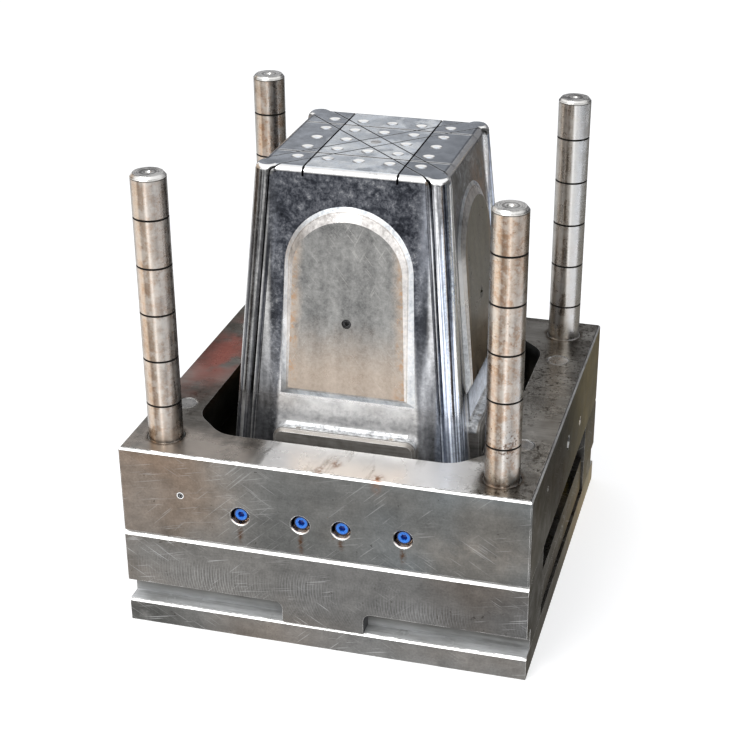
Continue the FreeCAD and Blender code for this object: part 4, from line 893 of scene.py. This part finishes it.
def spring_enamel():
    s = Shader("spring_enamel", metallic=0.0, roughness=0.38)
    mottle = s.noise(110.0, 5.0)
    color = s.ramp(mottle, (0.35, (0.42, 0.30, 0.02)), (0.65, (0.60, 0.44, 0.04)))
    s.color(s.mix(s.times(s.edge(0.0008), 0.7), color, (0.22, 0.21, 0.20)))
    s.roughness(s.fade(mottle, 0.3, 0.7, 0.3, 0.5))
    s.bump((mottle, 0.00010))
    return s.material


def rubber():
    s = Shader("seal_rubber", metallic=0.0, roughness=0.6)
    mottle = s.noise(200.0, 4.0)
    s.color(s.ramp(mottle, (0.3, 0.012), (0.7, 0.030)))
    s.roughness(s.fade(mottle, 0.3, 0.7, 0.5, 0.7))
    s.bump((mottle, 0.00004))
    return s.material


def plug_plastic():
    """Blue moulded plastic: light rim, painted shade in the recess and round the outside."""
    s = Shader("blue_plug_plastic", metallic=0.0, roughness=0.28, Specular_IOR_Level=0.6)
    mottle = s.noise(260.0, 4.0)
    # Painted shade: darker blue deeper in the recess.
    depth = s.fade(s.y, PLUGS_LO.y + 0.0004, PLUGS_LO.y + 0.0045)
    color = s.ramp(mottle, (0.3, (0.008, 0.170, 0.80)), (0.7, (0.020, 0.28, 1.0)))
    color = s.mix(depth, color, (0.004, 0.030, 0.26))
    # Painted shade: near-black outside the rim, in the gap round the plug.
    color = s.mix(s.fade(port_radius(s), 0.0082, 0.0092), color, (0.004, 0.010, 0.045))
    s.color(color)
    s.roughness(s.fade(mottle, 0.3, 0.7, 0.2, 0.36))
    s.bump((mottle, 0.00006))
    return s.material


# ------------------------------------------------------------------ which node wears what
def dress(material, *names):
    for name in names:
        slots = NODES[name].data.materials
        slots.clear()
        slots.append(material)


# Columns: pillar corner, warm film strength, rust spots, strength of the painted sheen.
PILLARS = (("front_left", 0.38, 0.03, 0.0), ("front_right", 0.62, 0.15, 0.0),
           ("rear_left", 0.70, 0.0, 0.0), ("rear_right", 0.12, -0.02, 0.55))
GROUND_PARTS = ("return_pins", "leg_ejector_rods", "skirt_ejector_pins", "dowel_pins",
                "ejector_guide_pins", "support_pillars", "knockout_bush", "rest_buttons",
                "air_poppet_guide", "air_poppet_nut")
SCREWS = ("window_insert_screws", "support_pillar_screws", "clamp_screws", "core_block_screws",
          "ejector_plate_screws", "skirt_bar_screws")


def dress_all():
    dress(core_plate_steel(), "core_plate")
    dress(rail_steel("front_rail_steel"), "front_spacer_rail")
    dress(rail_steel("rear_rail_steel"), "rear_spacer_rail")
    dress(clamp_steel(), "bottom_clamp_plate")
    dress(core_steel(), "core_block")
    dress(window_steel(), *(side + "_window_insert" for side in ("front", "right", "rear", "left")))
    for corner, warm, spotted, painted_sheen in PILLARS:
        dress(pillar_steel(corner, warm, spotted, painted_sheen), "guide_pillar_" + corner)
    inner = inner_steel("ejector_plate_steel", (0.10, 0.098, 0.094), (0.22, 0.215, 0.205))
    dress(inner, "ejector_backing_plate", "ejector_retainer_plate")
    ground = turned_steel("ground_pin_steel", (0.26, 0.255, 0.245), (0.50, 0.49, 0.475),
                          (1.0, 0.86, 0.72))
    dress(ground, *GROUND_PARTS)
    polished = turned_steel("polished_pin_steel", (0.42, 0.42, 0.43), (0.70, 0.70, 0.70),
                            (1, 0.95, 0.9), rust=-0.08, roughness=(0.12, 0.24))
    dress(polished, "leg_ejector_blocks", "air_poppet")
    dress(bar_steel(), "skirt_bars")
    dress(black_screw(), *SCREWS)
    dress(rubber(), "core_seal_rings")
    dress(brass(), "channel_end_plugs", "cooling_baffles")
    dress(bronze(), "ejector_guide_bushes")
    dress(plug_plastic(), "water_port_plugs")


# ------------------------------------------------------------------ coil springs
COIL_STEPS = 40
FLAT_TURNS = 0.75
CORNER_SHARE = 0.22
SEAT_SHARE = 0.98


def coil_points(low, high, wire, coils):
    """Angle and height along a coil whose first and last FLAT_TURNS lie almost flat."""
    rise = high - low - wire
    for i in range(coils * COIL_STEPS + 1):
        turns = i / COIL_STEPS
        share = min(max((turns - FLAT_TURNS) / (coils - 2 * FLAT_TURNS), 0.0), 1.0)
        dead = min(turns, FLAT_TURNS) + max(turns - coils + FLAT_TURNS, 0.0)
        climb = wire * SEAT_SHARE * dead / FLAT_TURNS * 0.5
        yield turns * 2 * math.pi, low + wire / 2 + climb + share * (rise - wire * SEAT_SHARE)


def wire_section(radii, wire):
    """The outline of a flat wire with rounded corners, as radius and height pairs."""
    inner, outer = radii
    middle, reach, corner = (inner + outer) / 2, (outer - inner) / 2, wire * CORNER_SHARE
    section = []
    for quarter, (side_r, side_z) in enumerate(((1, 1), (-1, 1), (-1, -1), (1, -1))):
        r, z = middle + side_r * (reach - corner), side_z * (wire / 2 - corner)
        for step in range(3):
            turn = quarter * math.pi / 2 + step * math.pi / 4
            section.append((r + corner * math.cos(turn), z + corner * math.sin(turn)))
    return section


def add_coil(mesh, centre, low, high, radii, wire, coils):
    """Sweep the wire's section round a helix and close its two ends."""
    section = wire_section(radii, wire)
    rows = []
    for angle, z in coil_points(low, high, wire, coils):
        ux, uy = math.cos(angle), math.sin(angle)
        rows.append([mesh.verts.new((centre[0] + r * ux, centre[1] + r * uy, z + dz))
                     for r, dz in section])
    count = len(section)
    for row, after in zip(rows, rows[1:]):
        for k in range(count):
            face = mesh.faces.new((row[k], row[(k + 1) % count], after[(k + 1) % count], after[k]))
            face.smooth = True
    mesh.faces.new(rows[0])
    mesh.faces.new(list(reversed(rows[-1])))


def make_springs(name, node, joint, travel, radii, wire, coils):
    """Coils that stand for a CAD node's springs; the node itself is hidden."""
    low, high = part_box(node)
    x, y = high.x - radii[1], high.y - radii[1]
    alone = x < radii[0]
    places = [(0.0, 0.0)] if alone else [(-x, -y), (-x, y), (x, -y), (x, y)]
    mesh = bmesh.new()
    for place in places:
        add_coil(mesh, place, low.z, high.z, radii, wire, coils)
    bmesh.ops.recalc_face_normals(mesh, faces=mesh.faces)
    data = bpy.data.meshes.new(name)
    mesh.to_mesh(data)
    mesh.free()
    data.materials.append(spring_enamel())
    piece = bpy.data.objects.new(name, data)
    bpy.context.collection.objects.link(piece)
    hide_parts(node)
    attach(piece, "base")
    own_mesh(piece)


def make_all_springs():
    make_springs("return_coils", "return_springs", "ejector_slide", EJECTOR_STROKE, **RETURN_COIL)
    make_springs("poppet_coil", "air_poppet_spring", "air_poppet_lift", POPPET_LIFT, **POPPET_COIL)


# ------------------------------------------------------------------ stage
FLOOR_HALF = 30.0
FLOOR_DROP = 0.0004
FLOOR_GLOW = 0.55
SKY = (0.62, 0.63, 0.65)
FACING, SIDEWAYS, LYING = (0, 0, 0), (0, 0, math.pi / 2), (math.pi / 2, 0, 0)
FLAGS = (("dark_back_flag", (0.0, 2.6, 0.92), 5.5, 1.84, FACING, (0.20, 0.20, 0.21)),
         ("grey_back_flag", (0.0, 2.6, 2.24), 5.5, 0.80, FACING, (0.42, 0.42, 0.43)),
         ("roof_softbox", (-0.72, 2.5, 1.52), 0.95, 0.42, FACING, (0.74, 0.75, 0.77)),
         ("dark_right_flag", (2.4, 0.4, 1.1), 4.0, 2.2, SIDEWAYS, (0.10, 0.10, 0.10)),
         ("dark_floor_flag", (1.15, 1.45, 0.003), 1.6, 2.6, LYING, (0.26, 0.245, 0.215)),
         ("warm_left_flag", (-2.4, 0.2, 0.9), 2.6, 1.8, SIDEWAYS, (0.50, 0.40, 0.31)))
KEY_WATTS = 42
FILL_WATTS = 8


def flat_emission(name, color):
    """A card's own even colour, which no lamp changes."""
    material = bpy.data.materials.new(name)
    material.use_nodes = True
    tree = material.node_tree
    tree.nodes.clear()
    output = tree.nodes.new("ShaderNodeOutputMaterial")
    emission = tree.nodes.new("ShaderNodeEmission")
    emission.inputs[0].default_value = paint(color)
    emission.inputs[1].default_value = 1.0
    tree.links.new(emission.outputs[0], output.inputs[0])
    return material


def white_seen(tree):
    """1 for rays that show the background: camera, glossy and transmission rays."""
    path = tree.nodes.new("ShaderNodeLightPath")
    total = path.outputs["Is Camera Ray"]
    for name in ("Is Glossy Ray", "Is Transmission Ray"):
        node = tree.nodes.new("ShaderNodeMath")
        node.operation = "MAXIMUM"
        tree.links.new(total, node.inputs[0])
        tree.links.new(path.outputs[name], node.inputs[1])
        total = node.outputs[0]
    return total


def make_world():
    """An even pale sky for the light, pure white where a ray shows the background."""
    world = bpy.data.worlds.new("studio")
    bpy.context.scene.world = world
    world.use_nodes = True
    tree = world.node_tree
    background = tree.nodes["Background"]
    mix = tree.nodes.new("ShaderNodeMix")
    mix.data_type = "RGBA"
    mix.inputs[6].default_value = paint(SKY)
    mix.inputs[7].default_value = paint(WHITE)
    tree.links.new(white_seen(tree), mix.inputs[0])
    tree.links.new(mix.outputs[2], background.inputs[0])
    background.inputs[1].default_value = 1.0


def make_floor():
    """A pale floor that takes the object's shadow and glows to white where it is seen."""
    mesh = bpy.data.meshes.new("floor")
    r = FLOOR_HALF
    mesh.from_pydata([(-r, -r, 0), (r, -r, 0), (r, r, 0), (-r, r, 0)], [], [(0, 1, 2, 3)])
    floor = bpy.data.objects.new("floor", mesh)
    floor.location.z = CAD_BOX[0].z - FLOOR_DROP
    bpy.context.collection.objects.link(floor)
    material = bpy.data.materials.new("pale_floor")
    material.use_nodes = True
    tree = material.node_tree
    bsdf = tree.nodes["Principled BSDF"]
    bsdf.inputs["Base Color"].default_value = paint(0.8)
    bsdf.inputs["Roughness"].default_value = 0.9
    bsdf.inputs["Specular IOR Level"].default_value = 0.0
    scale = tree.nodes.new("ShaderNodeMath")
    scale.operation = "MULTIPLY"
    scale.inputs[1].default_value = FLOOR_GLOW
    tree.links.new(white_seen(tree), scale.inputs[0])
    bsdf.inputs["Emission Color"].default_value = paint(WHITE)
    tree.links.new(scale.outputs[0], bsdf.inputs["Emission Strength"])
    mesh.materials.append(material)


def make_flag(name, centre, width, height, turn, color):
    """A plain card that only reflections see, as a photographer sets beside shiny metal."""
    mesh = bpy.data.meshes.new(name)
    w, h = width / 2, height / 2
    mesh.from_pydata([(-w, 0, -h), (w, 0, -h), (w, 0, h), (-w, 0, h)], [], [(0, 1, 2, 3)])
    mesh.materials.append(flat_emission(name, color))
    card = bpy.data.objects.new(name, mesh)
    card.location = centre
    card.rotation_euler = turn
    card.visible_camera = False
    card.visible_diffuse = False
    card.visible_shadow = False
    bpy.context.collection.objects.link(card)


def make_light(name, place, target, size, watts):
    data = bpy.data.lights.new(name, "AREA")
    data.shape = "RECTANGLE"
    data.size, data.size_y = size
    data.energy = watts
    light = bpy.data.objects.new(name, data)
    light.location = place
    light.rotation_euler = (Vector(target) - Vector(place)).to_track_quat("-Z", "Y").to_euler()
    bpy.context.collection.objects.link(light)


def make_stage():
    make_world()
    make_floor()
    for flag in FLAGS:
        make_flag(*flag)
    make_light("key", (-0.9, -1.9, 2.9), (0, 0, 0.35), (1.8, 1.2), KEY_WATTS)
    make_light("fill", (1.8, -2.2, 1.6), (0, 0, 0.3), (1.0, 1.0), FILL_WATTS)


bpy.context.scene.view_settings.view_transform = "Standard"
make_camera()
dress_all()
make_all_springs()
make_stage()
